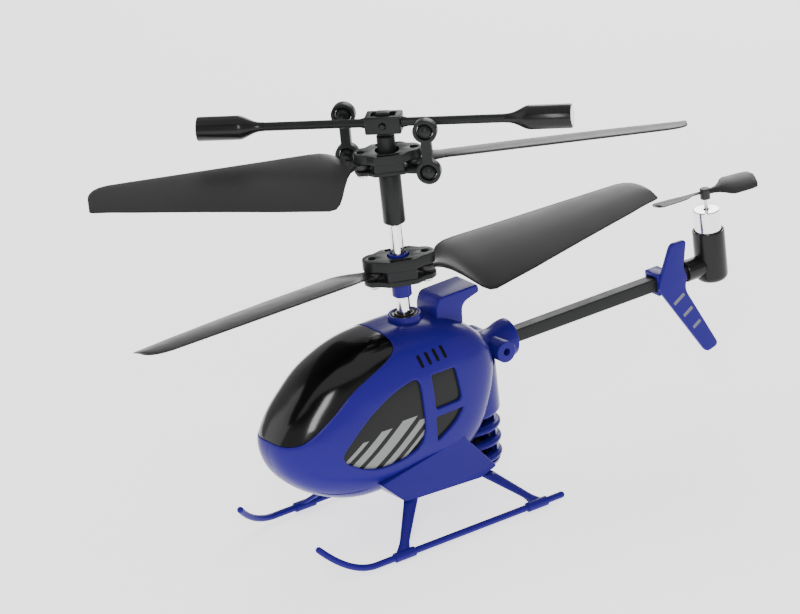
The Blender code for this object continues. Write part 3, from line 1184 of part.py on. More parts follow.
def case_screws():
    for name, (y, z) in CASE_SCREWS_MM.items():
        y, z = y * MM, z * MM
        reach = body_half_width(y, z)
        seat = CASE_SINK - GAP - reach
        head = seat - SCREW_HEAD_HEIGHT
        # Along X the turned profile's top is the +X end.
        profile = [(0, 4 * MM), (SCREW_RADIUS, 4 * MM), (SCREW_RADIUS, seat),
                   (SCREW_HEAD_RADIUS, seat), (SCREW_HEAD_RADIUS, head), (0, head)]
        settle(turned(name, profile, 10, "X", at=(0, y, z)), "steel")


clear_scene()
PARTS = bpy.data.collections.new("remote_control_helicopter")
bpy.context.scene.collection.children.link(PARTS)
MATERIALS = {name: make_material(name) for name in COLOURS}
AIRFRAME = empty("airframe", location=(0, MAST_Y, -GROUND_Z))

body_shells()
glazing()
mast_collar()
intake_duct()
belly_cover()
tail_boom_mount()
rear_vent_cowl()
main_frame()
bearings()
battery_and_board()
gears()
motors()
shafts()
lower_rotor()
upper_rotor()
rotor_head()
flybar()
tail_boom()
tail_fin()
tail_motor_group()
skids()
legs()
case_screws()
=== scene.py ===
import math

import bmesh
import bpy
import numpy as np
from mathutils import Matrix, Vector


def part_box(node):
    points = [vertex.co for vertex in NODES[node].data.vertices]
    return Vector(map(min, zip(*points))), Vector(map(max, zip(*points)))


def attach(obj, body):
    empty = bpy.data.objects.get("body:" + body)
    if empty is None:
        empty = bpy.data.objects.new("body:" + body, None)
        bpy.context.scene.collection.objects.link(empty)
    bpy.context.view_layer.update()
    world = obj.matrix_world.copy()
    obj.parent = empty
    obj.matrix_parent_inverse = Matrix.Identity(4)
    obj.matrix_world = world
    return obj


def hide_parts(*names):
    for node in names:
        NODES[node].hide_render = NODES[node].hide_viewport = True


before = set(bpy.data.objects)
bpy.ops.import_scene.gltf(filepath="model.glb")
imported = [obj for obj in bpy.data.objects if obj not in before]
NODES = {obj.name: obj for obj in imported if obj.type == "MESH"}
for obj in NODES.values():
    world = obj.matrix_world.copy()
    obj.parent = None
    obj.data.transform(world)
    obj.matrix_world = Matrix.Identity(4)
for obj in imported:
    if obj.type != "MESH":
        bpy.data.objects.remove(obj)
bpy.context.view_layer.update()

# Pieces are modelled in millimetres from the mast, level with the collar: the nose points to
# -Y, the port side to +X. WORLD takes them to metres in the frame of the CAD model.
SHAFT_LOW, SHAFT_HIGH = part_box("outer_shaft")
MAST_Y = (SHAFT_LOW[1] + SHAFT_HIGH[1]) / 2
COLLAR_Z = 0.04615
WORLD = Matrix.Translation((0, MAST_Y, COLLAR_Z)) @ Matrix.Scale(0.001, 4)

LOWER_HUB_ANGLE, LOWER_BLADE_ANGLE = 65.0, 90.0
UPPER_HUB_ANGLE, UPPER_BLADE_ANGLE = 59.0, 60.3
FLYBAR_ANGLE = 46.0
TAIL_ROTOR_ANGLE = 82.0
HUB_HOLE_REACH = 5.77
FLYBAR_Z = 44.4
TAIL_ARM = 82.5
BOOM_Z = -13.9
COLUMN_Y = 12.5
COLUMN_ROOM = 8.5
BOSS_Y = 20.9
LINK_LENGTH = 9.3
BALL_Z = FLYBAR_Z - LINK_LENGTH
BALL_RADIUS = 1.7
EYE_RADIUS = 1.8
HUB_TILT_Z = 35.3
LOWER_BLADE_Z = 10.3
SKID_X, SKID_Z = 19.2, -45.05
RAIL_RADIUS = 0.75
FRONT_FOOT_Y, REAR_FOOT_Y = -18.8, 16.6
OUTSIDE = 20.0  # farther from the middle than any side of the cabin
SHIELD_FAR = 45.0  # farther along the windshield's direction than the cabin
SIDES = (("left", 1), ("right", -1))
PAIR = (("a", 1), ("b", -1))

COLLECTION = bpy.data.collections.new("looks")
bpy.context.scene.collection.children.link(COLLECTION)


# ---------------------------------------------------------------- materials

def srgb(r, g, b):
    """A linear colour from 0 to 255 screen values."""
    def linear(value):
        value /= 255
        return value / 12.92 if value <= 0.04045 else ((value + 0.055) / 1.055) ** 2.4
    return (linear(r), linear(g), linear(b), 1.0)


def new_node(nodes, kind, inputs=None, **settings):
    node = nodes.new("ShaderNode" + kind)
    for name, value in settings.items():
        setattr(node, name, value)
    for name, value in (inputs or {}).items():
        node.inputs[name].default_value = value
    return node


def plastic(name, colour, roughness, coat=0.0, grain=260.0, bump=0.02, mottle=0.06, wear=0.25,
            specular=0.5):
    """Moulded plastic: a faint mottle in colour and sheen, with a fine moulded grain."""
    made = bpy.data.materials.new(name)
    made.use_nodes = True
    nodes, links = made.node_tree.nodes, made.node_tree.links
    shader = nodes["Principled BSDF"]
    shader.inputs["Specular IOR Level"].default_value = specular
    shader.inputs["Coat Weight"].default_value = coat
    shader.inputs["Coat Roughness"].default_value = 0.12
    place = new_node(nodes, "TexCoord")
    to_millimetres = new_node(nodes, "VectorMath", operation="SCALE")
    to_millimetres.inputs["Scale"].default_value = 1000.0
    links.new(place.outputs["Object"], to_millimetres.inputs[0])
    broad = new_node(nodes, "TexNoise", {"Scale": 0.22, "Detail": 3.0})
    fine = new_node(nodes, "TexNoise", {"Scale": grain / 40, "Detail": 2.0})
    for noise in (broad, fine):
        links.new(to_millimetres.outputs[0], noise.inputs["Vector"])

    def shade(share):
        return [min(1, value * share) for value in colour[:3]] + [1]

    mix = new_node(nodes, "Mix", {"A": shade(1 - mottle), "B": shade(1 + mottle)},
                   data_type="RGBA")
    links.new(broad.outputs["Fac"], mix.inputs["Factor"])
    links.new(mix.outputs["Result"], shader.inputs["Base Color"])
    sheen = new_node(nodes, "MapRange", {"To Min": roughness * (1 - wear),
                                         "To Max": roughness * (1 + wear)})
    links.new(broad.outputs["Fac"], sheen.inputs["Value"])
    links.new(sheen.outputs["Result"], shader.inputs["Roughness"])
    relief = new_node(nodes, "Bump", {"Strength": bump, "Distance": 0.00002})
    links.new(fine.outputs["Fac"], relief.inputs["Height"])
    links.new(relief.outputs["Normal"], shader.inputs["Normal"])
    return made


def metal(name, colour, roughness, stretch=(1.0, 1.0, 12.0)):
    """Turned or drawn metal: fine streaks along one direction."""
    made = plastic(name, colour, roughness, grain=120.0, bump=0.03, mottle=0.04)
    nodes, links = made.node_tree.nodes, made.node_tree.links
    nodes["Principled BSDF"].inputs["Metallic"].default_value = 1.0
    streaks = new_node(nodes, "Mapping", {"Scale": stretch})
    for noise in [node for node in nodes if node.bl_idname == "ShaderNodeTexNoise"]:
        if not streaks.inputs["Vector"].is_linked:
            links.new(noise.inputs["Vector"].links[0].from_socket, streaks.inputs["Vector"])
        links.new(streaks.outputs["Vector"], noise.inputs["Vector"])
    return made


def striped(name, base, stripe, roughness, bands, axis_a, axis_b):
    """Glossy plastic with plain printed bars. Each band is (low, high) along axis_a and ends at a
    top along axis_b, in millimetres."""
    made = plastic(name, base, roughness, bump=0.0, mottle=0.02, wear=0.1, specular=0.15)
    nodes, links = made.node_tree.nodes, made.node_tree.links
    shader = nodes["Principled BSDF"]
    under = shader.inputs["Base Color"].links[0].from_socket
    place = next(node for node in nodes if node.bl_idname == "ShaderNodeVectorMath").outputs[0]

    def math_node(operation, a, b):
        node = new_node(nodes, "Math", operation=operation)
        for slot, value in zip(node.inputs, (a, b)):
            if isinstance(value, (int, float)):
                slot.default_value = value
            else:
                links.new(value, slot)
        return node.outputs[0]

    def along(axis):
        node = new_node(nodes, "VectorMath", {1: axis}, operation="DOT_PRODUCT")
        links.new(place, node.inputs[0])
        return node.outputs["Value"]

    a, b = along(axis_a), along(axis_b)
    total = None
    for low, high, top in bands:
        bar = math_node("MULTIPLY", math_node("GREATER_THAN", a, low),
                        math_node("LESS_THAN", a, high))
        bar = math_node("MULTIPLY", bar, math_node("LESS_THAN", b, top))
        total = bar if total is None else math_node("MAXIMUM", total, bar)
    mix = new_node(nodes, "Mix", {"B": stripe}, data_type="RGBA")
    links.new(total, mix.inputs["Factor"])
    links.new(under, mix.inputs["A"])
    links.new(mix.outputs["Result"], shader.inputs["Base Color"])
    return made


BLUE = plastic("blue_plastic", srgb(35, 21, 115), 0.26, coat=0.05, bump=0.01, mottle=0.03,
               wear=0.1, specular=0.1)
# A darker blue for the chin's crease lines: painted shade.
CREASE_SHADE = plastic("blue_shadow", srgb(26, 22, 84), 0.6, specular=0.2)
PRINT = plastic("grey_print", srgb(104, 106, 116), 0.4, specular=0.3)
BLACK = plastic("black_plastic", srgb(26, 28, 28), 0.40, bump=0.05, specular=0.18)
BLACK_GLOSS = plastic("black_gloss", srgb(22, 22, 23), 0.24, coat=0.08, bump=0.01, specular=0.2)
# Deep black: the charge socket's own colour, and painted shade for the vent slots on the cabin and
# the inside of the rear vent cowl.
DEEP_BLACK_AND_SHADE = plastic("deep_black", srgb(8, 8, 9), 0.55, specular=0.1)
BLADE = plastic("blade_plastic", srgb(34, 34, 35), 0.36, bump=0.02, grain=160, specular=0.3)
CHROME = metal("polished_steel", (0.86, 0.86, 0.85, 1), 0.10)
STEEL = metal("steel", (0.72, 0.72, 0.72, 1), 0.22, stretch=(12, 1, 1))
BRASS = metal("brass", (0.75, 0.55, 0.25, 1), 0.3)
CAN = metal("motor_can", (0.92, 0.92, 0.91, 1), 0.16, stretch=(1, 1, 14))
NYLON = plastic("white_nylon", srgb(225, 225, 218), 0.45)
BOARD = plastic("green_board", srgb(20, 92, 44), 0.45)
FOIL = plastic("battery_wrap", srgb(120, 122, 128), 0.3)


# ---------------------------------------------------------------- mesh helpers (millimetres)

def new_object(name, mesh):
    obj = bpy.data.objects.new(name, mesh)
    COLLECTION.objects.link(obj)
    return obj


def from_bmesh(name, bm):
    mesh = bpy.data.meshes.new(name)
    bm.to_mesh(mesh)
    bm.free()
    return new_object(name, mesh)


def clean(mesh, merge, tiny_edges=False):
    """Joins points closer than the merge distance, and turns the faces outwards."""
    bm = bmesh.new()
    bm.from_mesh(mesh)
    bmesh.ops.remove_doubles(bm, verts=bm.verts, dist=merge)
    if tiny_edges:
        bmesh.ops.dissolve_degenerate(bm, dist=merge, edges=bm.edges)
    outward(bm)
    bm.to_mesh(mesh)
    bm.free()
    return mesh


def mesh_object(name, points, faces, merge=1e-4, tiny_edges=False):
    mesh = bpy.data.meshes.new(name)
    mesh.from_pydata([tuple(map(float, point)) for point in points], [],
                     [tuple(map(int, face)) for face in faces])
    return new_object(name, clean(mesh, merge, tiny_edges))


def outward(bm):
    bmesh.ops.recalc_face_normals(bm, faces=bm.faces)
    if all(edge.is_manifold for edge in bm.edges) and bm.calc_volume(signed=True) < 0:
        bmesh.ops.reverse_faces(bm, faces=bm.faces)


def baked(obj):
    """The object again, with its modifiers or its curve turned into a plain mesh."""
    bpy.context.view_layer.update()
    graph = bpy.context.evaluated_depsgraph_get()
    mesh = bpy.data.meshes.new_from_object(obj.evaluated_get(graph))
    name, place = obj.name, obj.matrix_world.copy()
    bpy.data.objects.remove(obj, do_unlink=True)
    made = new_object(name, clean(mesh, 1e-4))
    made.name = name
    made.matrix_world = place
    return made


def boolean(obj, operation, *tools):
    for tool in tools:
        modifier = obj.modifiers.new(operation, "BOOLEAN")
        modifier.operation = operation
        modifier.object = tool
        obj = baked(obj)
        bpy.data.objects.remove(tool, do_unlink=True)
    return obj


def cut(obj, *tools):
    return boolean(obj, "DIFFERENCE", *tools)


def join(obj, *tools):
    return boolean(obj, "UNION", *tools)


def keep(obj, *tools):
    return boolean(obj, "INTERSECT", *tools)


def softened(obj, width, segments=3, angle=32):
    """Rounds every edge that is sharper than the angle."""
    bevel = obj.modifiers.new("Round", "BEVEL")
    bevel.width = width
    bevel.segments = segments
    bevel.limit_method = "ANGLE"
    bevel.angle_limit = math.radians(angle)
    return baked(obj)


def move(obj, matrix):
    obj.data.transform(matrix)
    return obj


def box(name, low, high, round_edge=0.0):
    bm = bmesh.new()
    bmesh.ops.create_cube(bm, size=1.0)
    low, high = Vector(low), Vector(high)
    bmesh.ops.scale(bm, vec=high - low, verts=bm.verts)
    bmesh.ops.translate(bm, vec=(low + high) / 2, verts=bm.verts)
    obj = from_bmesh(name, bm)
    return softened(obj, round_edge) if round_edge else obj


def rod(name, start, end, radius, segments=32, end_radius=None):
    start, end = Vector(start), Vector(end)
    way = end - start
    bm = bmesh.new()
    far = radius if end_radius is None else end_radius
    bmesh.ops.create_cone(bm, cap_ends=True, segments=segments, radius1=radius, radius2=far,
                          depth=way.length)
    turn = way.to_track_quat("Z", "Y").to_matrix().to_4x4()
    bm.transform(Matrix.Translation((start + end) / 2) @ turn)
    outward(bm)
    return from_bmesh(name, bm)


AXES = {"Z": Matrix.Identity(4), "X": Matrix.Rotation(math.pi / 2, 4, "Y"),
        "Y": Matrix.Rotation(-math.pi / 2, 4, "X")}


def strips(pairs, count):
    """Quads between pairs of closed rows of points, each row given by its first point."""
    return [(near + i, near + (i + 1) % count, far + (i + 1) % count, far + i)
            for near, far in pairs for i in range(count)]


def turned(name, profile, segments=64, axis="Z", at=(0, 0, 0), closed=False):
    """(radius, height) points spun round an axis."""
    count = len(profile)
    turns = [2 * math.pi * k / segments for k in range(segments)]
    points = [(radius * math.cos(a), radius * math.sin(a), height)
              for radius, height in profile for a in turns]
    pairs = [(i, (i + 1) % count) for i in range(count if closed else count - 1)]
    faces = strips([(i * segments, j * segments) for i, j in pairs
                    if profile[i][0] or profile[j][0]], segments)
    made = mesh_object(name, points, faces, 1e-5, tiny_edges=True)
    return move(made, Matrix.Translation(at) @ AXES[axis])


def arc(centre, radius, start, end, steps=6):
    """Points of a profile's corner, with angles in degrees."""
    turns = [math.radians(start + (end - start) * k / steps) for k in range(steps + 1)]
    return [(centre[0] + radius * math.cos(a), centre[1] + radius * math.sin(a)) for a in turns]


STAND = Matrix(((1, 0, 0, 0), (0, 0, -1, 0), (0, 1, 0, 0), (0, 0, 0, 1)))
SIDE = Matrix(((0, 0, 1, 0), (1, 0, 0, 0), (0, 1, 0, 0), (0, 0, 0, 1)))


def plate(name, outline, low, high, holes=(), edge=0.0, plane=None):
    """A filled outline with a thickness and rounded edges."""
    curve = bpy.data.curves.new(name, "CURVE")
    curve.dimensions = "2D"
    curve.fill_mode = "BOTH"
    curve.extrude = (high - low) / 2 - edge
    curve.bevel_depth = edge
    curve.bevel_resolution = 2
    curve.offset = -edge
    for points in (outline, *holes):
        spline = curve.splines.new("POLY")
        spline.points.add(len(points) - 1)
        for slot, point in zip(spline.points, points):
            slot.co = (point[0], point[1], 0, 1)
        spline.use_cyclic_u = True
    obj = baked(new_object(name, curve))
    plane = plane or Matrix.Identity(4)
    obj.data.transform(plane @ Matrix.Translation((0, 0, (low + high) / 2)))
    if plane.determinant() < 0:
        obj.data.flip_normals()
    return obj


def oblong(low_x, low_y, high_x, high_y):
    return [(low_x, low_y), (high_x, low_y), (high_x, high_y), (low_x, high_y)]


def circle(centre, radius, segments=28):
    turns = [2 * math.pi * k / segments for k in range(segments)]
    return [(centre[0] + radius * math.cos(a), centre[1] + radius * math.sin(a)) for a in turns]


def rounded(points, radius, steps=6):
    """A closed outline with its corners rounded, by one radius or by one for each."""
    out = []
    for i, corner in enumerate(points):
        corner = Vector(corner)
        reach = radius[i] if isinstance(radius, (list, tuple)) else radius
        ends = []
        for other in (points[i - 1], points[(i + 1) % len(points)]):
            way = Vector(other) - corner
            ends.append(corner + way.normalized() * min(reach, way.length * 0.48))
        for k in range(steps + 1):
            t = k / steps
            out.append(tuple((1 - t) ** 2 * ends[0] + 2 * t * (1 - t) * corner + t * t * ends[1]))
    return out


def spread(points, step):
    """The closed outline again, with points no more than a step apart."""
    out = []
    for i, point in enumerate(points):
        near, far = Vector(point), Vector(points[(i + 1) % len(points)])
        count = max(1, int((far - near).length / step))
        out += [tuple(near + (far - near) * (k / count)) for k in range(count)]
    return out


def wire(name, points, radius, resolution=4, taper=None):
    curve = bpy.data.curves.new(name, "CURVE")
    curve.dimensions = "3D"
    curve.bevel_depth = radius
    curve.bevel_resolution = resolution
    curve.use_fill_caps = True
    spline = curve.splines.new("POLY")
    spline.points.add(len(points) - 1)
    for i, (slot, point) in enumerate(zip(spline.points, points)):
        slot.co = (*point, 1)
        slot.radius = taper[i] if taper else 1.0
    return baked(new_object(name, curve))


def loft(name, rings, cap=True):
    """A skin over closed rings of points."""
    count = len(rings[0])
    points = [p for ring in rings for p in ring]
    faces = strips([(r * count, (r + 1) * count) for r in range(len(rings) - 1)], count)
    if cap:
        faces.append(tuple(range(count)))
        faces.append(tuple((len(rings) - 1) * count + i for i in range(count)))
    return mesh_object(name, points, faces)


def catmull(points, t, closed=False):
    count = len(points)
    i = int(math.floor(t))
    f = t - i

    def at(k):
        return np.array(points[k % count if closed else min(max(k, 0), count - 1)], float)
    a, b, c, d = at(i - 1), at(i), at(i + 1), at(i + 2)
    return 0.5 * (2 * b + (c - a) * f + (2 * a - 5 * b + 4 * c - d) * f ** 2
                  + (3 * b - a - 3 * c + d) * f ** 3)


def finish_piece(obj, body, material, nodes=(), matrix=None, angle=34):
    """Gives a piece its looks and its body, and takes it to the CAD model's frame."""
    if matrix is not None:
        obj.data.transform(matrix)
    obj.data.transform(WORLD)
    obj.data.materials.clear()
    obj.data.materials.append(material)
    if not obj.data.has_custom_normals:
        obj.data.shade_smooth()
        obj.data.set_sharp_from_angle(angle=math.radians(angle))
    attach(obj, body)
    if nodes:
        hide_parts(*nodes)


def blue_piece(obj, nodes=(), angle=34):
    finish_piece(obj, "airframe", BLUE, nodes, angle=angle)


def around(angle, at=(0, 0, 0)):
    return Matrix.Translation(at) @ Matrix.Rotation(math.radians(angle), 4, "Z")


# ---------------------------------------------------------------- the cabin's surface

SIDE_OUTLINE = [
    (-38.6, -19.8), (-36.6, -14.8), (-32.4, -10.2), (-26.0, -5.2), (-16.5, -1.6), (-6.0, -0.7),
    (5.0, -1.6), (11.8, -4.6), (16.3, -9.0), (17.6, -14.2), (15.9, -21.6), (12.2, -29.0),
    (6.0, -33.6), (-8.0, -35.4), (-21.0, -35.6), (-30.6, -31.8), (-36.6, -26.2),
]
CENTRE = np.array((-6.0, -19.0))
HALF_WIDTH = 13.0
FINE = 5760
DENSE = np.array([catmull(SIDE_OUTLINE, k * len(SIDE_OUTLINE) / FINE, True) for k in range(FINE)])
REACH = DENSE - CENTRE
ANGLES = np.arctan2(REACH[:, 1], REACH[:, 0])
ORDER = np.argsort(ANGLES)
ANGLES, LENGTHS = ANGLES[ORDER], np.linalg.norm(REACH, axis=1)[ORDER]


def fullness(angle):
    """The section is fuller towards the rear, where the side stays flat up to a tight turn."""
    rear = np.clip(np.cos(angle), 0, 1)
    return 2.7 + 0.75 * rear ** 1.5


def body_field(x, y, z, shrink=0.0):
    """Zero on the cabin's surface, negative inside it."""
    dy, dz = y - CENTRE[0], z - CENTRE[1]
    angle = np.arctan2(dz, dy)
    edge = np.interp(angle, ANGLES, LENGTHS, period=2 * np.pi) - shrink
    n = fullness(angle)
    return (np.abs(x) / (HALF_WIDTH - shrink)) ** n + (np.hypot(dy, dz) / edge) ** n - 1


def body_hit(origins, direction, far, shrink=0.0):
    """Where rays that come in against the direction, from a distance far, meet the cabin."""
    origins = np.asarray(origins, float)
    direction = np.asarray(direction, float)
    low, high = np.zeros(len(origins)), np.full(len(origins), float(far))
    for _ in range(40):
        middle = (low + high) / 2
        at = origins + middle[:, None] * direction
        inside = body_field(at[:, 0], at[:, 1], at[:, 2], shrink) < 0
        low, high = np.where(inside, middle, low), np.where(inside, high, middle)
    return origins + low[:, None] * direction


def body_normal(points, shrink=0.0):
    points = np.asarray(points, float)
    step = 0.2
    grad = []
    for axis in range(3):
        ahead, behind = points.copy(), points.copy()
        ahead[:, axis] += step
        behind[:, axis] -= step
        grad.append(body_field(*ahead.T, shrink) - body_field(*behind.T, shrink))
    grad = np.array(grad).T
    return grad / np.maximum(np.linalg.norm(grad, axis=1, keepdims=True), 1e-12)


def body_solid(name, shrink=0.0, around_steps=200, across_steps=44):
    """The whole cabin as a closed skin."""
    turns = [k * len(SIDE_OUTLINE) / around_steps for k in range(around_steps)]
    rim = np.array([catmull(SIDE_OUTLINE, t, True) for t in turns]) - CENTRE
    lengths = np.linalg.norm(rim, axis=1, keepdims=True)
    rim = rim * (1 - shrink / lengths)
    n = fullness(np.arctan2(rim[:, 1], rim[:, 0]))
    points, rows = [], []
    for k in range(-across_steps + 1, across_steps):
        phi = k / across_steps * math.pi / 2
        x = (HALF_WIDTH - shrink) * np.sign(phi) * np.abs(np.sin(phi)) ** (2 / n)
        draw = np.maximum(np.cos(phi), 1e-9) ** (2 / n)
        rows.append(len(points))
        for i in range(around_steps):
            points.append((x[i], *(CENTRE + rim[i] * draw[i])))
    faces = strips(zip(rows, rows[1:]), around_steps)
    for side, row in ((-1, rows[0]), (1, rows[-1])):
        points.append((side * (HALF_WIDTH - shrink), *CENTRE))
        for i in range(around_steps):
            faces.append((row + i, row + (i + 1) % around_steps, len(points) - 1))
    return mesh_object(name, points, faces)


def polish(obj, shrink=0.0, tolerance=0.012):
    """Shades every point on the cabin's surface with the surface's own direction."""
    mesh = obj.data
    mesh.shade_smooth()

    def fetched(items, name, width, kind=float):
        values = np.empty(len(items) * width, kind)
        items.foreach_get(name, values)
        return values.reshape(-1, width)

    points = fetched(mesh.vertices, "co", 3)
    field = np.abs(body_field(*points.T, shrink))
    normals = body_normal(points, shrink)
    corner = fetched(mesh.loops, "vertex_index", 1, int)[:, 0]
    size = fetched(mesh.polygons, "loop_total", 1, int)[:, 0]
    starts = np.concatenate([[0], np.cumsum(size)[:-1]])
    flat = np.repeat(fetched(mesh.polygons, "normal", 3), size, axis=0)
    # A face belongs to the skin when all its corners do; slivers point anywhere.
    whole = np.maximum.reduceat(field[corner], starts) < tolerance
    on_skin = np.repeat(whole, size)[:, None]
    mesh.normals_split_custom_set(np.where(on_skin, normals[corner], flat))


# ---------------------------------------------------------------- windows

SLOPE = math.sqrt(0.5)
SHIELD_WAY = np.array((0.0, -SLOPE, SLOPE))
SHIELD_PLANE = Matrix(((-1, 0, 0, 0), (0, -SLOPE, -SLOPE, 0), (0, -SLOPE, SLOPE, 0), (0, 0, 0, 1)))
SHIELD = rounded([(-7.6, 6.9), (7.6, 6.9), (10.1, 12.5), (10.1, 31.0), (7.0, 39.4), (-7.0, 39.4),
                  (-10.1, 31.0), (-10.1, 12.5)], [4.5, 4.5, 6, 9, 5, 5, 9, 6], 10)
WINDOWS = {
    "front": rounded([(-5.7, -9.6), (-5.6, -24.4), (-11.0, -27.2), (-20.0, -27.6), (-27.6, -22.6),
                      (-20.5, -15.4), (-12.5, -10.9)], [2.4, 5, 5, 6, 3.2, 9, 6], 10),
    "rear": rounded([(-2.7, -10.2), (3.7, -10.3), (4.4, -17.9), (-2.7, -18.1)],
                    [0.7, 0.8, 1.3, 0.7]),
    "quarter": rounded([(-2.9, -19.9), (4.7, -19.8), (2.6, -22.4), (-2.9, -25.6)],
                       [0.6, 0.6, 3.0, 0.5]),
}


def outline_normals(points):
    """Unit directions out of a closed outline, in its own plane."""
    points = np.asarray(points, float)
    ahead, behind = np.roll(points, -1, 0), np.roll(points, 1, 0)
    way = ahead - behind
    normals = np.stack([way[:, 1], -way[:, 0]], 1)
    normals /= np.linalg.norm(normals, axis=1, keepdims=True)
    area = 0.5 * np.sum(points[:, 0] * ahead[:, 1] - ahead[:, 0] * points[:, 1])
    return normals if area > 0 else -normals


RIM_PROFILE = ((0.62, -0.004), (0.42, -0.004), (0.26, 0.02), (0.12, 0.08), (0.03, 0.2),
               (0.0, 0.36), (0.0, 1.3))


def window_rim(name, outline, place, direction, far):
    """The rounded edge of an opening: it starts flush with the skin and turns inwards."""
    outline = np.asarray(spread(outline, 0.35))
    normals = outline_normals(outline)
    rings = []
    for out, sink in RIM_PROFILE:
        flat = outline + normals * out
        hits = body_hit([place(a, b) for a, b in flat], direction, far)
        rings.append(hits - np.asarray(direction) * sink)
    return loft(name, rings, cap=False)


def side_place(y, z):
    return (0.0, y, z)


def shield_place(x, s):
    return (-x, -SLOPE * s, -SLOPE * s)


def grow(outline, by):
    points = np.asarray(outline, float)
    return [tuple(p) for p in points + outline_normals(points) * by]


def side_prism(name, outline, side, near):
    """A side-view outline, from a distance off the middle to outside the cabin."""
    low, high = sorted((side * near, side * OUTSIDE))
    return plate(name, outline, low, high, plane=SIDE)


def cabin():
    body = body_solid("cabin")
    tools = [plate("opening", grow(SHIELD, 0.3), 0, SHIELD_FAR, plane=SHIELD_PLANE)]
    for side in (1, -1):
        for outline in WINDOWS.values():
            tools.append(side_prism("opening", grow(outline, 0.3), side, 5.0))
    tools.append(rod("collar", (0, 0, -6), (0, 0, 4), 3.2, 48))
    tools.append(rod("column", (0, COLUMN_Y, -60), (0, COLUMN_Y, -27.4), COLUMN_ROOM, 64))
    body = cut(body, *tools)
    for word, side in SIDES:
        half = new_object(f"cabin_{word}", body.data.copy())
        bm = bmesh.new()
        bm.from_mesh(half.data)
        bmesh.ops.bisect_plane(bm, geom=[*bm.verts, *bm.edges, *bm.faces], dist=1e-6,
                               plane_co=(side * 0.035, 0, 0), plane_no=(-side, 0, 0),
                               clear_outer=True)
        bm.to_mesh(half.data)
        bm.free()
        polish(half)
        blue_piece(half, [f"fuselage_{word}"])
    bpy.data.objects.remove(body, do_unlink=True)
    rim = window_rim("windshield_rim", SHIELD, shield_place, SHIELD_WAY, SHIELD_FAR)
    blue_piece(rim, angle=80)
    for word, side in SIDES:
        for place, outline in WINDOWS.items():
            rim = window_rim(f"window_rim_{place}_{word}", outline, side_place, (side, 0, 0),
                             OUTSIDE)
            blue_piece(rim, angle=80)


# Plain leaning bars on the front windows: start across the lean, width, and top, in millimetres
STRIPES = ((2.6, 0.9, -20.2), (4.6, 1.7, -19.0), (7.4, 2.4, -18.2), (11.0, 1.5, -19.4),
           (13.6, 0.8, -21.0))


def glazing():
    pane = body_solid("windshield_pane", 0.10)
    pane = keep(pane, plate("outline", grow(SHIELD, -0.03), 0.5, SHIELD_FAR, plane=SHIELD_PLANE))
    polish(pane, 0.10)
    gloss = plastic("windshield_black", srgb(5, 5, 6), 0.15, coat=0.0, bump=0.0, mottle=0.02,
                    wear=0.05, specular=0.4)
    finish_piece(pane, "airframe", gloss, ["windshield"])
    for word, side in SIDES:
        pane = body_solid(f"window_panes_{word}", 0.75, 160, 36)
        panes = [side_prism("outline", grow(outline, 0.4), side, 6.0)
                 for outline in WINDOWS.values()]
        pane = keep(pane, join(*panes))
        polish(pane, 0.75)
        # The bars lean forward: they are measured across (y - z) in the world's millimetres.
        shift_y, shift_z = MAST_Y * 1000, COLLAR_Z * 1000
        lean = (0.0, 0.62, -0.785)
        base = lean[1] * shift_y + lean[2] * shift_z
        bands = [(start + base, start + wide + base, top + shift_z)
                 for start, wide, top in STRIPES]
        dark = striped(f"window_{word}", srgb(27, 28, 27), srgb(128, 130, 128), 0.2, bands, lean,
                       (0.0, 0.0, 1.0))
        finish_piece(pane, "airframe", dark, [f"side_window_{word}"])


def skin_line(name, points, side, radius, sink):
    """A thin line that follows the skin through side-view points."""
    route = []
    for k in range((len(points) - 1) * 12 + 1):
        y, z = catmull(points, k / 12)
        route.append((0.0, y, z))
    hits = body_hit(route, (side, 0, 0), OUTSIDE)
    normals = body_normal(hits)
    count = len(hits)
    taper = [max(0.15, min(1.0, 4 * min(k, count - 1 - k) / count)) for k in range(count)]
    return wire(name, hits - normals * sink, radius, taper=taper)


def cabin_details():
    """Generic vent slots over the rear windows, painted as deep black patches on the skin for the
    shade inside them, and the chin's creases, painted as thin darker blue lines of shade.
    """
    for word, side in SIDES:
        slots = []
        for k in range(4):
            y, z = -4.6 + k * 2.05, -8.1 + k * 0.12
            leaning = [(y, z), (y + 0.8, z), (y + 0.35, z + 2.7), (y - 0.45, z + 2.7)]
            slots.append(side_prism("slot", rounded(leaning, 0.35, 4), side, 4.0))
        # The slots are not cut: a deep black patch laid just over the skin paints the shade inside
        # them.
        slots = keep(body_solid("vent_slot_shade_" + word, -0.02, 240, 60), join(*slots))
        finish_piece(slots, "airframe", DEEP_BLACK_AND_SHADE, angle=60)
        # Each crease is a thin darker blue line that paints the shade in it.
        crease = skin_line(f"chin_crease_{word}", [(-31.5, -30.0), (-28.0, -31.6), (-23.0, -32.3),
                                                    (-18.4, -31.9)], side, 0.13, 0.03)
        finish_piece(crease, "airframe", CREASE_SHADE)


# ---------------------------------------------------------------- roof and rear

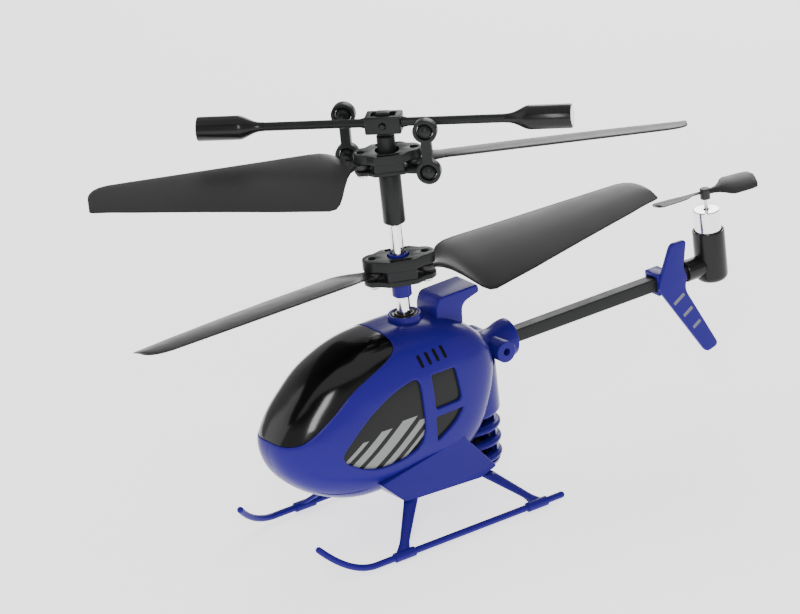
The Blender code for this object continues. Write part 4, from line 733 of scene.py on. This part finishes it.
def collar():
    outer = [(3.02, -0.9), (3.02, 0.0)] + arc((3.22, 0.0), 0.2, 180, 90, 4)
    outer += arc((3.45, 0.0), 0.2, 90, 0, 4) + [(3.68, -0.5)]
    outer += [(4.35 - 0.65 * math.cos(a), -1.15 - 0.62 * math.sin(a) + 0.35)
              for a in map(math.radians, (10, 30, 50, 70, 88))]
    outer += [(5.6, -2.4)]
    ring = turned("collar_ring", outer)
    blue_piece(ring, ["mast_collar"], 50)
    profile = [(1.68, 0.32), (1.95, 0.40), (2.1, 0.36), (2.15, 0.1), (2.3, -0.05), (2.5, 0.0),
               (2.75, 0.22), (2.88, 0.18), (2.92, -0.2), (2.92, -7.6), (1.68, -7.6)]
    finish_piece(turned("collar_bearing", profile, closed=True), "airframe", BLACK_GLOSS,
                 ["upper_mast_bearing"])


def duct():
    side = [(5.4, -5.0), (5.9, 0.4), (6.9, 2.35), (17.2, 2.5), (17.45, 0.7), (13.6, -0.35),
            (12.6, -1.5), (12.4, -5.0)]
    body = plate("roof_duct", rounded(side, [0.2, 0.8, 1.1, 0.7, 0.7, 1.2, 1.2, 0.2], 5), -3.9, 3.9,
                 edge=0.35, plane=SIDE)
    blue_piece(body, ["intake_duct"], 40)


def boom_mount():
    r, wall = 8.2, 1.2
    profile = [(0, -15.0), (6.4, -15.05)] + arc((6.7, -16.5), 1.5, 90, 0, 6)
    profile += [(r, -26.2)] + arc((r - 0.9, -26.3), 0.9, 0, -80, 5)
    profile += [(r - wall - 0.3, -27.2), (r - wall - 0.3, -16.4), (0, -16.4)]
    column = turned("rear_column", profile, 96, at=(0, COLUMN_Y, 0))
    column = cut(column, box("front", (-20, -20, -60), (20, 11.5, 0)))
    rim = 26.4
    horn = [(0, rim), (2.3, rim), (4.0, rim)] + arc((4.0, rim - 0.28), 0.28, 90, 0, 4)
    horn += [(4.25, 25.2), (4.0, 23.9), (3.55, 22.6), (3.35, 21.2), (3.5, 19.6), (4.1, 18.1),
             (5.3, 16.7), (6.4, 15.6), (6.6, 14.0), (0, 14.0)]
    horn = turned("horn", horn, 64, "Y", at=(0, 0, BOOM_Z))
    boss = rod("boss", (-7.0, BOSS_Y, BOOM_Z), (7.0, BOSS_Y, BOOM_Z), 2.45, 48)
    boss = softened(boss, 0.22, 3, 50)
    mount = join(column, horn, boss)
    mount = cut(mount, rod("bore", (0, 15, BOOM_Z), (0, rim + 1, BOOM_Z), 2.3, 40),
                rod("hole", (-9, BOSS_Y, BOOM_Z), (9, BOSS_Y, BOOM_Z), 0.85, 32),
                rod("sink", (-9, BOSS_Y, BOOM_Z), (-5.4, BOSS_Y, BOOM_Z), 1.6, 32))
    blue_piece(mount, ["tail_boom_mount"], 38)


def cowl():
    top = -27.5
    ribs = [top - 2.6 - 3.5 * k for k in range(3)]
    wall, inner = 7.0, 5.8
    profile = [(wall, top)]
    for k, z in enumerate(ribs):
        reach = 8.0 - 0.1 * k
        profile += [(wall, z + 0.95), (wall + 0.15, z + 0.72), (reach - 0.5, z + 0.62)]
        profile += arc((reach - 0.6, z), 0.6, 75, -75, 6)
        profile += [(wall + 0.15, z - 0.72), (wall, z - 0.95)]
    profile += [(wall + 0.35, -38.2), (7.1, -38.9), (6.3, -39.6), (5.2, -40.0), (0, -40.0),
                (0, -38.8), (5.2, -38.8), (inner, -38.0), (inner, top)]
    body = turned("vent_cowl", profile, 96, at=(0, COLUMN_Y, 0), closed=True)
    body = cut(body, box("front", (-20, -20, -60), (20, 8.0, 0)))
    for side in (1, -1):
        near, far = sorted((side * 4.4, side * OUTSIDE))
        for z, half in [(top - 0.75, 0.95)] + [(z - 1.75, 1.02) for z in ribs[:-1]]:
            body = cut(body, box("vent", (near, 0, z - half), (far, COLUMN_Y + 4.3, z + half)))
    blue_piece(body, ["rear_vent_cowl"], 38)
    # A deep black core inside the cowl paints the shade seen through its vents.
    core = turned("vent_shade_core", [(0, top), (4.3, top), (4.3, -38.5), (0, -38.5)], 40,
                  at=(0, COLUMN_Y - 0.5, 0))
    finish_piece(core, "airframe", DEEP_BLACK_AND_SHADE)


def belly():
    side = [(-18.1, -31.3), (-12.3, -37.1), (7.9, -38.0), (12.0, -36.5), (4.2, -26.9)]
    body = plate("belly_panel", rounded(side, [0.3, 0.7, 0.7, 0.5, 0.5], 4), -12.0, 12.0, edge=0.22,
                 plane=SIDE)
    body = cut(body, rod("column", (0, COLUMN_Y, -60), (0, COLUMN_Y, -20), COLUMN_ROOM, 64),
               box("switch", (-1.1, -7.0, -50), (1.1, -2.0, -36.0)),
               box("socket", (-2.3, -0.8, -50), (2.3, 2.4, -36.0)))
    blue_piece(body, ["belly_cover"], 38)


# ---------------------------------------------------------------- mast and rotors

def shafts():
    ends = arc((1.15, 20.9), 0.3, 90, 0, 4)
    profile = [(1.05, 21.2), *ends, (1.45, -13.2), (1.05, -13.2)]
    shaft = turned("outer_mast", profile, 48, closed=True)
    hole = rod("hole", (-3, 0, 15.6), (3, 0, 15.6), 0.25, 16)
    finish_piece(cut(shaft, hole), "lower_rotor", CHROME, ["outer_shaft"])
    profile = [(0, 31.6), (0.55, 31.6), (0.75, 31.4), (0.75, -21.6), (0.55, -21.8), (0, -21.8)]
    finish_piece(turned("inner_mast", profile, 40), "upper_rotor", CHROME, ["inner_shaft"])
    profile = [(1.75, 4.3), (1.95, 4.3), (2.15, 4.5), (2.15, 14.1), (1.95, 14.3), (1.75, 14.3)]
    finish_piece(turned("hub_sleeve", profile, 48, closed=True), "lower_rotor", BLUE,
                 ["lower_hub_sleeve"])


def hub_outline(length, wide, waist):
    """Two round lobes that run out of a round middle."""
    half = []
    steps = 18
    for k in range(steps + 1):
        a = -math.pi / 2 + math.pi * k / steps
        half.append((length - waist + waist * math.cos(a), waist * math.sin(a)))
    shoulder = [(3.2, wide), (2.2, wide + 0.08), (0, wide + 0.1), (-2.2, wide + 0.08), (-3.2, wide)]
    return half + shoulder + [(-x, -y) for x, y in half + shoulder]


def rotor_hub(name, heights, length, room, body, node, angle, tilt_arms=()):
    """Two plates that hold the blades between them, joined by a block round the mast."""
    low, lower_top, upper_low, high = heights
    bore = [circle((0, 0), room, 40)]
    holes = bore + [circle((side * HUB_HOLE_REACH, 0), 0.82) for side in (1, -1)]
    outline = hub_outline(length, 4.2, 2.75)
    hub = plate(name, outline, low, lower_top, holes, edge=0.14)
    slot_x, slot_half, slot_ys = 2.3, 0.5, (3.4, -3.4)
    slots = [rounded(oblong(-slot_x, y - slot_half, slot_x, y + slot_half), 0.15) for y in slot_ys]
    top = plate("top", outline, upper_low, high, holes + slots, edge=0.16)
    block = plate("block", rounded(oblong(-3.3, -4.1, 3.3, 4.1), 0.5), low + 0.2, high - 0.25, bore)
    for y in slot_ys:
        block = cut(block, box("slot", (-slot_x, y - slot_half, upper_low - 1.5),
                               (slot_x, y + slot_half, high + 1)))
    hub = join(hub, block, top, *tilt_arms)
    finish_piece(hub, body, BLACK, [node], around(angle), angle=36)


def link_ball(side):
    """Where a link's balls are, across from the mast."""
    return Vector((side * 9.8, -side * 5.75))


def screw(name, body, node, heights, at_angle, side):
    low, high = heights[0], heights[3]
    head = low - 0.3
    profile = [(0, high - 0.8), (0.45, high - 0.8), (0.6, high - 0.95), (0.6, head),
               (1.05, head), (1.3, head - 0.2), (1.28, head - 0.5), (1.0, head - 0.78),
               (0, head - 0.8)]
    made = turned(name, profile, 32)
    cross = [box("drive", (-0.75, -0.13, head - 1), (0.75, 0.13, head - 0.45)),
             box("drive", (-0.13, -0.75, head - 1), (0.13, 0.75, head - 0.45))]
    made = cut(made, *cross)
    place = around(at_angle) @ Matrix.Translation((side * HUB_HOLE_REACH, 0, 0))
    finish_piece(made, body, STEEL, [node], place)


# A blade's stations: distance out from its screw, reach ahead of and behind its line, pitch in
# degrees, and thickness. ROOT is its shaped end, SPAN the rest.
ROOT = ((-1.9, 0.5, 0.5, 0.0, 1.1), (-1.5, 1.2, 1.2, 0.0, 1.15), (-0.8, 1.75, 1.75, 0.0, 1.2),
        (0.4, 1.95, 1.95, 0.5, 1.2), (1.6, 1.95, 2.2, 2.0, 1.2), (2.6, 2.2, 3.2, 4.5, 1.2),
        (3.5, 2.8, 5.2, 8.0, 1.15), (4.4, 3.5, 8.0, 11.5, 1.12), (5.2, 4.2, 10.6, 14.2, 1.1),
        (6.0, 4.7, 12.5, 16.0, 1.05), (7.0, 5.1, 13.6, 16.8, 1.02), (8.5, 5.5, 13.9, 17.0, 1.0),
        (11.0, 5.6, 13.5, 16.9, 0.98))
SPAN = ((20.1, 5.3, 12.2, 16.0, 0.9), (34.9, 4.9, 9.6, 14.5, 0.8), (49.8, 4.45, 7.0, 13.0, 0.7),
        (54.4, 4.3, 6.05, 12.5, 0.66), (56.4, 3.85, 5.72, 12.4, 0.62),
        (57.65, 3.15, 5.57, 12.3, 0.58), (58.45, 2.25, 5.42, 12.2, 0.55),
        (58.95, 1.2, 5.22, 12.1, 0.5), (59.15, 0.1, 5.02, 12.1, 0.45))


def blade(name, body, node, middle_z, hub_angle, blade_angle, side, sense):
    """A thin cambered blade with a full nose and a fine trailing edge."""
    rows = np.array(ROOT + SPAN)
    stations = list(rows[:13, 0]) + list(np.linspace(12.5, 53.5, 30)) + list(rows[16:, 0])
    stations = sorted(set(np.round(stations, 3)))
    shares = 0.5 - 0.5 * np.cos(np.linspace(0, math.pi, 15))
    rings = []
    for at in stations:
        ahead, behind, pitch, thick = [np.interp(at, rows[:, 0], rows[:, k]) for k in (1, 2, 3, 4)]
        rise = math.tan(math.radians(pitch))
        blend = np.clip((at - 3.0) / 5.0, 0, 1)
        camber = 0.55 * blend * (1 - 0.5 * np.clip((at - 20) / 40, 0, 1))
        over, under = [], []
        for share in shares:
            y = ahead - share * (ahead + behind)
            oval = math.sqrt(max(0.0, 1 - (2 * share - 1) ** 2))
            foil = 0.22 + 2.3 * (math.sqrt(share) * (1 - share) ** 1.1) if 0 < share < 1 else 0.12
            half = thick / 2 * (oval * (1 - blend) + min(1.0, foil) * blend)
            lift = camber * 4 * share * (1 - share)
            over.append((at, sense * y, y * rise + half + lift))
            under.append((at, sense * y, y * rise - half + lift))
        rings.append(over + under[::-1])
    made = loft(name, rings)
    disc = turned("disc", [(0, 0.62), (1.95, 0.62), (2.05, 0.5), (2.05, -0.5), (1.95, -0.62),
                           (0, -0.62)], 48)
    made = join(made, disc)
    made = cut(made, rod("hole", (0, 0, -3), (0, 0, 3), 0.9, 24))
    place = (around(hub_angle) @ Matrix.Translation((side * HUB_HOLE_REACH, 0, middle_z))
             @ around(blade_angle - hub_angle + (0 if side > 0 else 180)))
    finish_piece(made, body, BLADE, [node], place, angle=60)


LOWER_Z = (8.0, 9.2, 11.4, 13.8)
UPPER_Z = (33.6, 34.4, 36.2, 38.2)


def rotors():
    rotor_hub("lower_hub", LOWER_Z, 7.95, 2.4, "lower_rotor", "lower_rotor_hub", LOWER_HUB_ANGLE)
    arms = []
    turn = Matrix.Rotation(math.radians(FLYBAR_ANGLE - UPPER_HUB_ANGLE), 2)
    for side in (1, -1):
        at = turn @ link_ball(side)
        bend = turn @ (link_ball(side) + Vector((0, side * 3.0)))
        root = Vector((side * 3.2, -side * 2.6))
        route = [(root.x, root.y, 34.0), ((root.x + bend.x) / 2, (root.y + bend.y) / 2, 34.0),
                 (bend.x, bend.y, 34.35)]
        arms.append(wire("arm", route, 0.75))
        arms.append(rod("stud", (bend.x, bend.y, BALL_Z), (at.x, at.y, BALL_Z), 0.85))
        arms.append(ball("ball", (at.x, at.y, BALL_Z), BALL_RADIUS))
    rotor_hub("upper_hub_visual", UPPER_Z, 7.4, 2.62, "upper_hub", "upper_rotor_hub",
              UPPER_HUB_ANGLE, arms)
    levels = (
        ("lower", "lower_rotor", LOWER_Z, LOWER_BLADE_Z, LOWER_HUB_ANGLE, LOWER_BLADE_ANGLE, 1),
        ("upper", "upper_hub", UPPER_Z, HUB_TILT_Z, UPPER_HUB_ANGLE, UPPER_BLADE_ANGLE, -1))
    for letter, side in PAIR:
        for level, _, _, middle_z, hub_angle, blade_angle, sense in levels:
            node = f"{level}_blade_{letter}"
            blade(f"{level}_blade_shape_{letter}", node, node, middle_z, hub_angle, blade_angle,
                  side, sense)
        for level, body, heights, _, hub_angle, _, _ in levels:
            screw(f"{level}_screw_{letter}", body, f"{level}_blade_screw_{letter}", heights,
                  hub_angle, side)


def ball(name, centre, radius):
    bm = bmesh.new()
    bmesh.ops.create_uvsphere(bm, u_segments=32, v_segments=20, radius=radius)
    bmesh.ops.translate(bm, vec=Vector(centre), verts=bm.verts)
    return from_bmesh(name, bm)


def head():
    profile = [(0, 41.6), (1.8, 41.6), (2.0, 41.4), (2.0, 33.2), (2.2, 33.0), (2.3, 32.9),
               (2.42, 32.7), (2.42, 21.7), (2.3, 21.5), (1.05, 21.5), (1.05, 31.9), (0, 31.9)]
    made = turned("head_sleeve", profile, 48, closed=True)
    tongue = plate("tongue", rounded(oblong(-1.5, 41.0, 1.5, 46.9), [0.05, 0.05, 0.5, 0.5]),
                   -1.0, 1.0, edge=0.15, plane=STAND)
    made = join(made, tongue)
    made = cut(made, rod("hole", (0, -6, HUB_TILT_Z), (0, 6, HUB_TILT_Z), 0.75, 24),
               rod("hole", (0, -6, FLYBAR_Z), (0, 6, FLYBAR_Z), 0.85, 24))
    finish_piece(made, "upper_rotor", BLACK, ["rotor_head"], around(FLYBAR_ANGLE))


def flybar():
    half = Vector((3.95, 2.4, 1.95))
    bar = box("flybar_bar", -half, half, 0.35)
    for side in (1, -1):
        grip = rod("rod", (side * 3.6, 0, 0), (side * 35.8, 0, 0), 0.95, 32)
        at = link_ball(side)
        collar = rod("collar", (side * 3.6, 0, 0), (side * 5.2, 0, 0), 1.35, 32, end_radius=0.95)
        stud = rod("stud", (at.x, 0, 0), (at.x, at.y * 0.96, 0), 0.85, 24)
        bar = join(bar, grip, collar, stud, ball("ball", (at.x, at.y, 0), BALL_RADIUS))
    bar = cut(bar, box("slot", (-2.7, -1.3, -9), (2.7, 1.3, 9)),
              rod("hole", (0, -6, 0), (0, 6, 0), 0.85, 24))
    place = Matrix.Translation((0, 0, FLYBAR_Z)) @ around(FLYBAR_ANGLE)
    finish_piece(bar, "flybar", BLACK, ["flybar"], place, angle=36)
    end, body, neck = 40.8, 31.8, 26.8
    cone = [(1.0 + 1.65 * (1 - math.cos(math.pi * (k / 16) ** 1.25)) / 2,
             neck - 0.6 + (body + 0.6 - neck) * k / 16) for k in range(17)]
    profile = [(0, end), (2.35, end), (2.55, end - 0.06), (2.65, end - 0.3)] + cone[::-1]
    profile += [(0.97, neck - 0.6), (0.97, 36.1), (0, 36.1)]
    plug = [(0, end + 0.005), (2.2, end + 0.005), (2.28, end - 0.02), (2.28, end - 0.3),
            (0, end - 0.3)]
    for letter, side in PAIR:
        weight = turned(f"weight_{letter}", profile, 64, "X", closed=True)
        cap = turned(f"weight_end_{letter}", plug, 48, "X")
        if side < 0:
            for piece in (weight, cap):
                move(piece, Matrix.Rotation(math.pi, 4, "Z"))
        finish_piece(weight, "flybar", BLACK_GLOSS, [f"flybar_weight_{letter}"], place, angle=30)
        finish_piece(cap, "flybar", STEEL if side > 0 else BLACK, (), place)
    links(place)


def links(place):
    """Dog-bone links: an eye at each end of a stem."""
    eye, stem = 2.65, 1.08
    lean = math.asin(stem / eye)
    outline = []
    for centre, start in ((0.0, -math.pi / 2 + lean), (-LINK_LENGTH, math.pi / 2 + lean)):
        sweep = 2 * (math.pi - lean)
        for k in range(31):
            a = start + sweep * k / 30
            outline.append((eye * math.cos(a), centre + eye * math.sin(a)))
    holes = [circle((0, z), EYE_RADIUS, 36) for z in (0, -LINK_LENGTH)]
    for letter, side in PAIR:
        bone = plate(f"link_{letter}", outline, -1.1, 1.1, holes, 0.18, STAND)
        node = f"flybar_link_{letter}"
        finish_piece(bone, node, BLACK, [node],
                     place @ Matrix.Translation((*link_ball(side), 0)), angle=36)


# ---------------------------------------------------------------- tail

def boom():
    half = 1.5
    outline = rounded(oblong(-half, -half, half, half), 0.28, 4)
    made = plate("boom_tube", outline, -78.55, -17.5, [circle((0, 0), 0.8, 20)], 0.0, STAND)
    move(made, Matrix.Translation((0, 0, BOOM_Z)))
    finish_piece(made, "airframe", BLACK, ["tail_boom"], angle=30)


FIN = [(70.0, -5.0), (74.3, -5.2), (72.9, -11.8), (73.8, -13.6), (72.9, -16.6), (80.8, -32.4),
       (77.2, -33.4), (65.5, -14.4)]


def fin():
    outline = rounded(FIN, [1.2, 1.0, 1.0, 1.0, 1.6, 1.4, 1.3, 2.0], 6)
    made = plate("fin_plate", outline, 1.8, 2.9, edge=0.28, plane=SIDE)
    outer = 2.6
    clip = box("clip", (-outer, 66.0, BOOM_Z - outer), (2.2, 69.6, BOOM_Z + outer), 0.3)
    clip = cut(clip, box("room", (-1.8, 64, BOOM_Z - 1.8), (1.8, 72, BOOM_Z + 1.8)))
    blue_piece(join(made, clip), ["tail_fin"], 40)
    way, across = Vector((0.5, -0.866)), Vector((0.866, 0.5))
    for k in range(3):
        centre = Vector((70.9, -18.4)) + way * (4.2 * k)
        half = 1.7 - 0.25 * k
        bar = rounded([tuple(centre + across * (i * half) + way * (j * 0.42))
                       for i, j in ((-1, -1), (1, -1), (1, 1), (-1, 1))], 0.2, 3)
        made = plate(f"fin_bar_{k}", bar, 2.86, 2.93, plane=SIDE)
        finish_piece(made, "airframe", PRINT)


def tail_motor():
    at = (0, TAIL_ARM, 0)
    outer, inner, low, high = 3.65, 3.3, -18.0, -6.0
    profile = [(inner, high), (outer - 0.2, high),
               *arc((outer - 0.15, high - 0.15), 0.15, 90, 0, 3),
               (outer, low + 1.6), *arc((outer - 1.6, low + 1.6), 1.6, 0, -90, 8),
               (0, low), (0, low + 1.1), (inner, low + 1.1)]
    cup = turned("motor_cup", profile, 64, at=at, closed=True)
    elbow = turned("elbow", [(0, 79.4), (2.45, 79.4), (2.45, 75.1), (2.3, 74.9), (0, 74.9)], 48,
                   "Y", at=(0, 0, BOOM_Z))
    cup = join(cup, elbow)
    cup = cut(cup, rod("bore", (0, 73, BOOM_Z), (0, 78.85, BOOM_Z), 2.2, 40))
    finish_piece(cup, "airframe", BLACK_GLOSS, ["tail_motor_housing"], angle=36)
    top = -1.1
    profile = [(0.75, top - 0.05), (1.1, top - 0.05), (1.15, top), (2.75, top),
               *arc((2.75, top - 0.25), 0.25, 90, 0, 4), (3.0, -16.6), (0, -16.6), (0, -4.1),
               (0.75, -4.1)]
    can = turned("motor_can_shape", profile, 64, at=at, closed=True)
    finish_piece(can, "airframe", CAN, ["tail_motor"], angle=30)
    shaft = turned("tail_shaft", [(0, 3.1), (0.3, 3.1), (0.4, 3.0), (0.4, -3.8), (0, -3.8)], 24,
                   at=at)
    finish_piece(shaft, "tail_rotor", STEEL, ["tail_rotor_shaft"])
    tail_rotor(at)


# The tail rotor's stations: distance out, reach ahead and behind, and pitch in degrees
PROP = ((0.85, 0.75, 0.75, 28), (2.0, 0.8, 0.8, 27), (3.2, 1.1, 1.1, 25), (4.2, 1.8, 1.7, 22),
        (5.2, 2.8, 2.6, 19), (6.2, 3.35, 3.2, 17), (8.0, 3.4, 3.3, 15), (10.5, 3.4, 3.3, 14),
        (11.8, 3.35, 3.1, 13), (12.5, 3.2, 1.9, 13), (12.9, 2.4, 0.5, 13), (13.05, 1.6, -0.8, 13))


def tail_rotor(at):
    hub = [(0, 3.9), (0.9, 3.9), *arc((0.9, 3.65), 0.25, 90, 0, 4), (1.15, 1.5), (0.7, 1.5),
           (0.7, 3.35), (0, 3.35)]
    made = turned("prop", hub, 40, closed=True)
    rows = np.array(PROP)
    for turn in (0, 180):
        rings = []
        for r in np.unique(np.concatenate([rows[:, 0], np.linspace(1, 13, 20)])):
            ahead, behind, pitch = [np.interp(r, rows[:, 0], rows[:, k]) for k in (1, 2, 3)]
            angle = math.radians(pitch)
            ring = []
            for side in (1, -1):
                shares = np.linspace(0, 1, 9) if side > 0 else np.linspace(1, 0, 9)
                for share in shares:
                    y = ahead - share * (ahead + behind)
                    thick = 0.28 * (0.35 + 0.65 * math.sqrt(max(0, 1 - (2 * share - 1) ** 2)))
                    lift = 0.25 * (1 - (2 * share - 1) ** 2)
                    h = side * thick + lift
                    ring.append((r, y * math.cos(angle) - h * math.sin(angle),
                                 y * math.sin(angle) + h * math.cos(angle) + 2.9))
            rings.append(ring)
        made = join(made, move(loft("wing", rings), Matrix.Rotation(math.radians(turn), 4, "Z")))
    finish_piece(made, "tail_rotor", BLADE, ["tail_rotor"], around(TAIL_ROTOR_ANGLE, at), angle=40)


# ---------------------------------------------------------------- landing gear

def skids():
    start, elbow, tip = (np.array(p) for p in ((SKID_X, -26.0, SKID_Z), (19.0, -32.3, -45.25),
                                               (15.2, -37.8, -38.8)))
    foot = [(0, 2.65), (0.95, 2.65), (1.1, 2.5), (1.1, -2.5), (0.95, -2.65), (0, -2.65)]
    route = [np.array((SKID_X, 23.2 - 1.2 * k, SKID_Z)) for k in range(41)]
    route += [(1 - t) ** 2 * start + 2 * t * (1 - t) * elbow + t * t * tip
              for t in np.linspace(0, 1, 30)]
    for word, side in SIDES:
        points = [(side * p[0], p[1], p[2]) for p in route]
        rail = wire(f"rail_{word}", points, RAIL_RADIUS, resolution=6)
        ends = [ball("end", points[k], RAIL_RADIUS) for k in (0, -1)]
        feet = [turned("foot", [(r, y + h) for r, h in foot], 40, "Y",
                       at=(side * SKID_X, 0, SKID_Z)) for y in (FRONT_FOOT_Y, REAR_FOOT_Y)]
        rail = join(rail, *ends, *feet)
        blue_piece(rail, [f"skid_{word}"], 36)


def legs():
    """Struts that run down and out to the feet, thinner and then spread at the lower end."""
    steps = [2 * math.pi * k / 28 for k in range(28)]
    for stem, top_y, top_z, foot_y in (("front", -10.3, -37.1, FRONT_FOOT_Y),
                                       ("rear", 9.7, -37.9, REAR_FOOT_Y)):
        for word, side in SIDES:
            rings = []
            for k in range(13):
                t = k / 12
                shape = (1 - t) ** 1.3
                half_x, half_y = 0.85 + 0.3 * shape, 1.15 + 0.65 * shape
                if t > 0.85:
                    half_y += (t - 0.85) * 4
                x, y, z = (np.array((10.9, top_y, top_z)) * (1 - t)
                           + np.array((18.75, foot_y, -44.3)) * t)
                rings.append([(side * (x + half_x * math.cos(a)), y + half_y * math.sin(a), z)
                              for a in steps])
            made = loft(f"strut_{stem}_{word}", rings)
            blue_piece(made, [f"leg_{stem}_{word}"], 40)


# CAD pieces that are shown as they are
KEPT = {
    "main_frame": BLACK, "charge_socket": DEEP_BLACK_AND_SHADE, "power_switch": BLACK, "battery": FOIL,
    "circuit_board": BOARD, "front_motor": STEEL, "rear_motor": STEEL, "boom_screw": STEEL,
    "lower_mast_bearing": BRASS, "front_pinion": BRASS, "rear_pinion": BRASS,
    "outer_shaft_gear": NYLON, "inner_shaft_gear": NYLON, "hub_tilt_pin": BLACK,
    "flybar_pin": BLACK, "case_screw_front": STEEL, "case_screw_rear": STEEL,
}


def kept_nodes():
    for name, material in KEPT.items():
        mesh = NODES[name].data
        mesh.materials.clear()
        mesh.materials.append(material)


# ---------------------------------------------------------------- set

def area_light(name, location, target, size, power):
    data = bpy.data.lights.new(name, "AREA")
    data.shape = "RECTANGLE"
    data.size, data.size_y = size
    data.energy = power
    light = bpy.data.objects.new(name, data)
    light.location = location
    light.rotation_euler = (Vector(target) - Vector(location)).to_track_quat("-Z", "Y").to_euler()
    COLLECTION.objects.link(light)


def studio():
    """A dim room with soft boxes over a bright, plain floor."""
    world = bpy.data.worlds.new("studio")
    world.use_nodes = True
    nodes, links = world.node_tree.nodes, world.node_tree.links
    place = new_node(nodes, "TexCoord")
    split = new_node(nodes, "SeparateXYZ")
    ramp = new_node(nodes, "ValToRGB")
    stops = ramp.color_ramp.elements
    stops[0].position, stops[0].color = 0.5, (0.60, 0.60, 0.62, 1)
    stops[1].position, stops[1].color = 0.72, (0.10, 0.10, 0.105, 1)
    links.new(place.outputs["Generated"], split.inputs[0])
    links.new(split.outputs["Z"], ramp.inputs["Fac"])
    links.new(ramp.outputs["Color"], nodes["Background"].inputs["Color"])
    bpy.context.scene.world = world
    target = (0, MAST_Y - 0.01, 0.04)
    area_light("key", (0.40, -0.30, 0.34), target, (0.10, 0.30), 1.5)
    area_light("top", (-0.05, 0.02, 0.80), target, (1.20, 1.20), 4.0)
    area_light("left", (-0.55, -0.75, 0.45), target, (0.80, 1.10), 3.2)
    area_light("rim", (-0.35, 0.40, 0.30), target, (0.30, 0.30), 1.5)
    bpy.ops.mesh.primitive_plane_add(size=16, location=(0, 0, -0.0002))
    floor = bpy.context.object
    floor.name = "floor"
    pale = plastic("pale_floor", (0.85, 0.85, 0.85, 1), 0.8, mottle=0.0, bump=0.0, specular=0.1)
    shader = pale.node_tree.nodes["Principled BSDF"]
    shader.inputs["Emission Color"].default_value = (1, 1, 1, 1)
    shader.inputs["Emission Strength"].default_value = 1.5
    floor.data.materials.append(pale)


def camera():
    a, e, r = math.radians(57.2549), math.radians(22.3029), math.radians(6.0955)
    right = Vector((math.cos(a), math.sin(a), 0))
    up = Vector((-math.sin(a) * math.sin(e), math.cos(a) * math.sin(e), math.cos(e)))
    back = Vector((math.sin(a) * math.cos(e), -math.cos(a) * math.cos(e), math.sin(e)))
    cam_x = math.cos(r) * right - math.sin(r) * up
    cam_y = math.sin(r) * right + math.cos(r) * up
    data = bpy.data.cameras.new("camera")
    data.sensor_width = 36.0
    data.lens = 297.0
    data.clip_start, data.clip_end = 0.05, 20.0
    obj = bpy.data.objects.new("camera", data)
    aim = Vector((0, MAST_Y, COLLAR_Z)) + (-0.9315 * cam_x + 1.361 * cam_y) * 0.001
    spin = Matrix((cam_x, cam_y, back)).transposed().to_4x4()
    obj.matrix_world = Matrix.Translation(aim + back * 1.4286) @ spin
    COLLECTION.objects.link(obj)
    bpy.context.scene.camera = obj


cabin()
glazing()
cabin_details()
collar()
duct()
boom_mount()
cowl()
belly()
shafts()
rotors()
head()
flybar()
boom()
fin()
tail_motor()
skids()
legs()
kept_nodes()
studio()
camera()
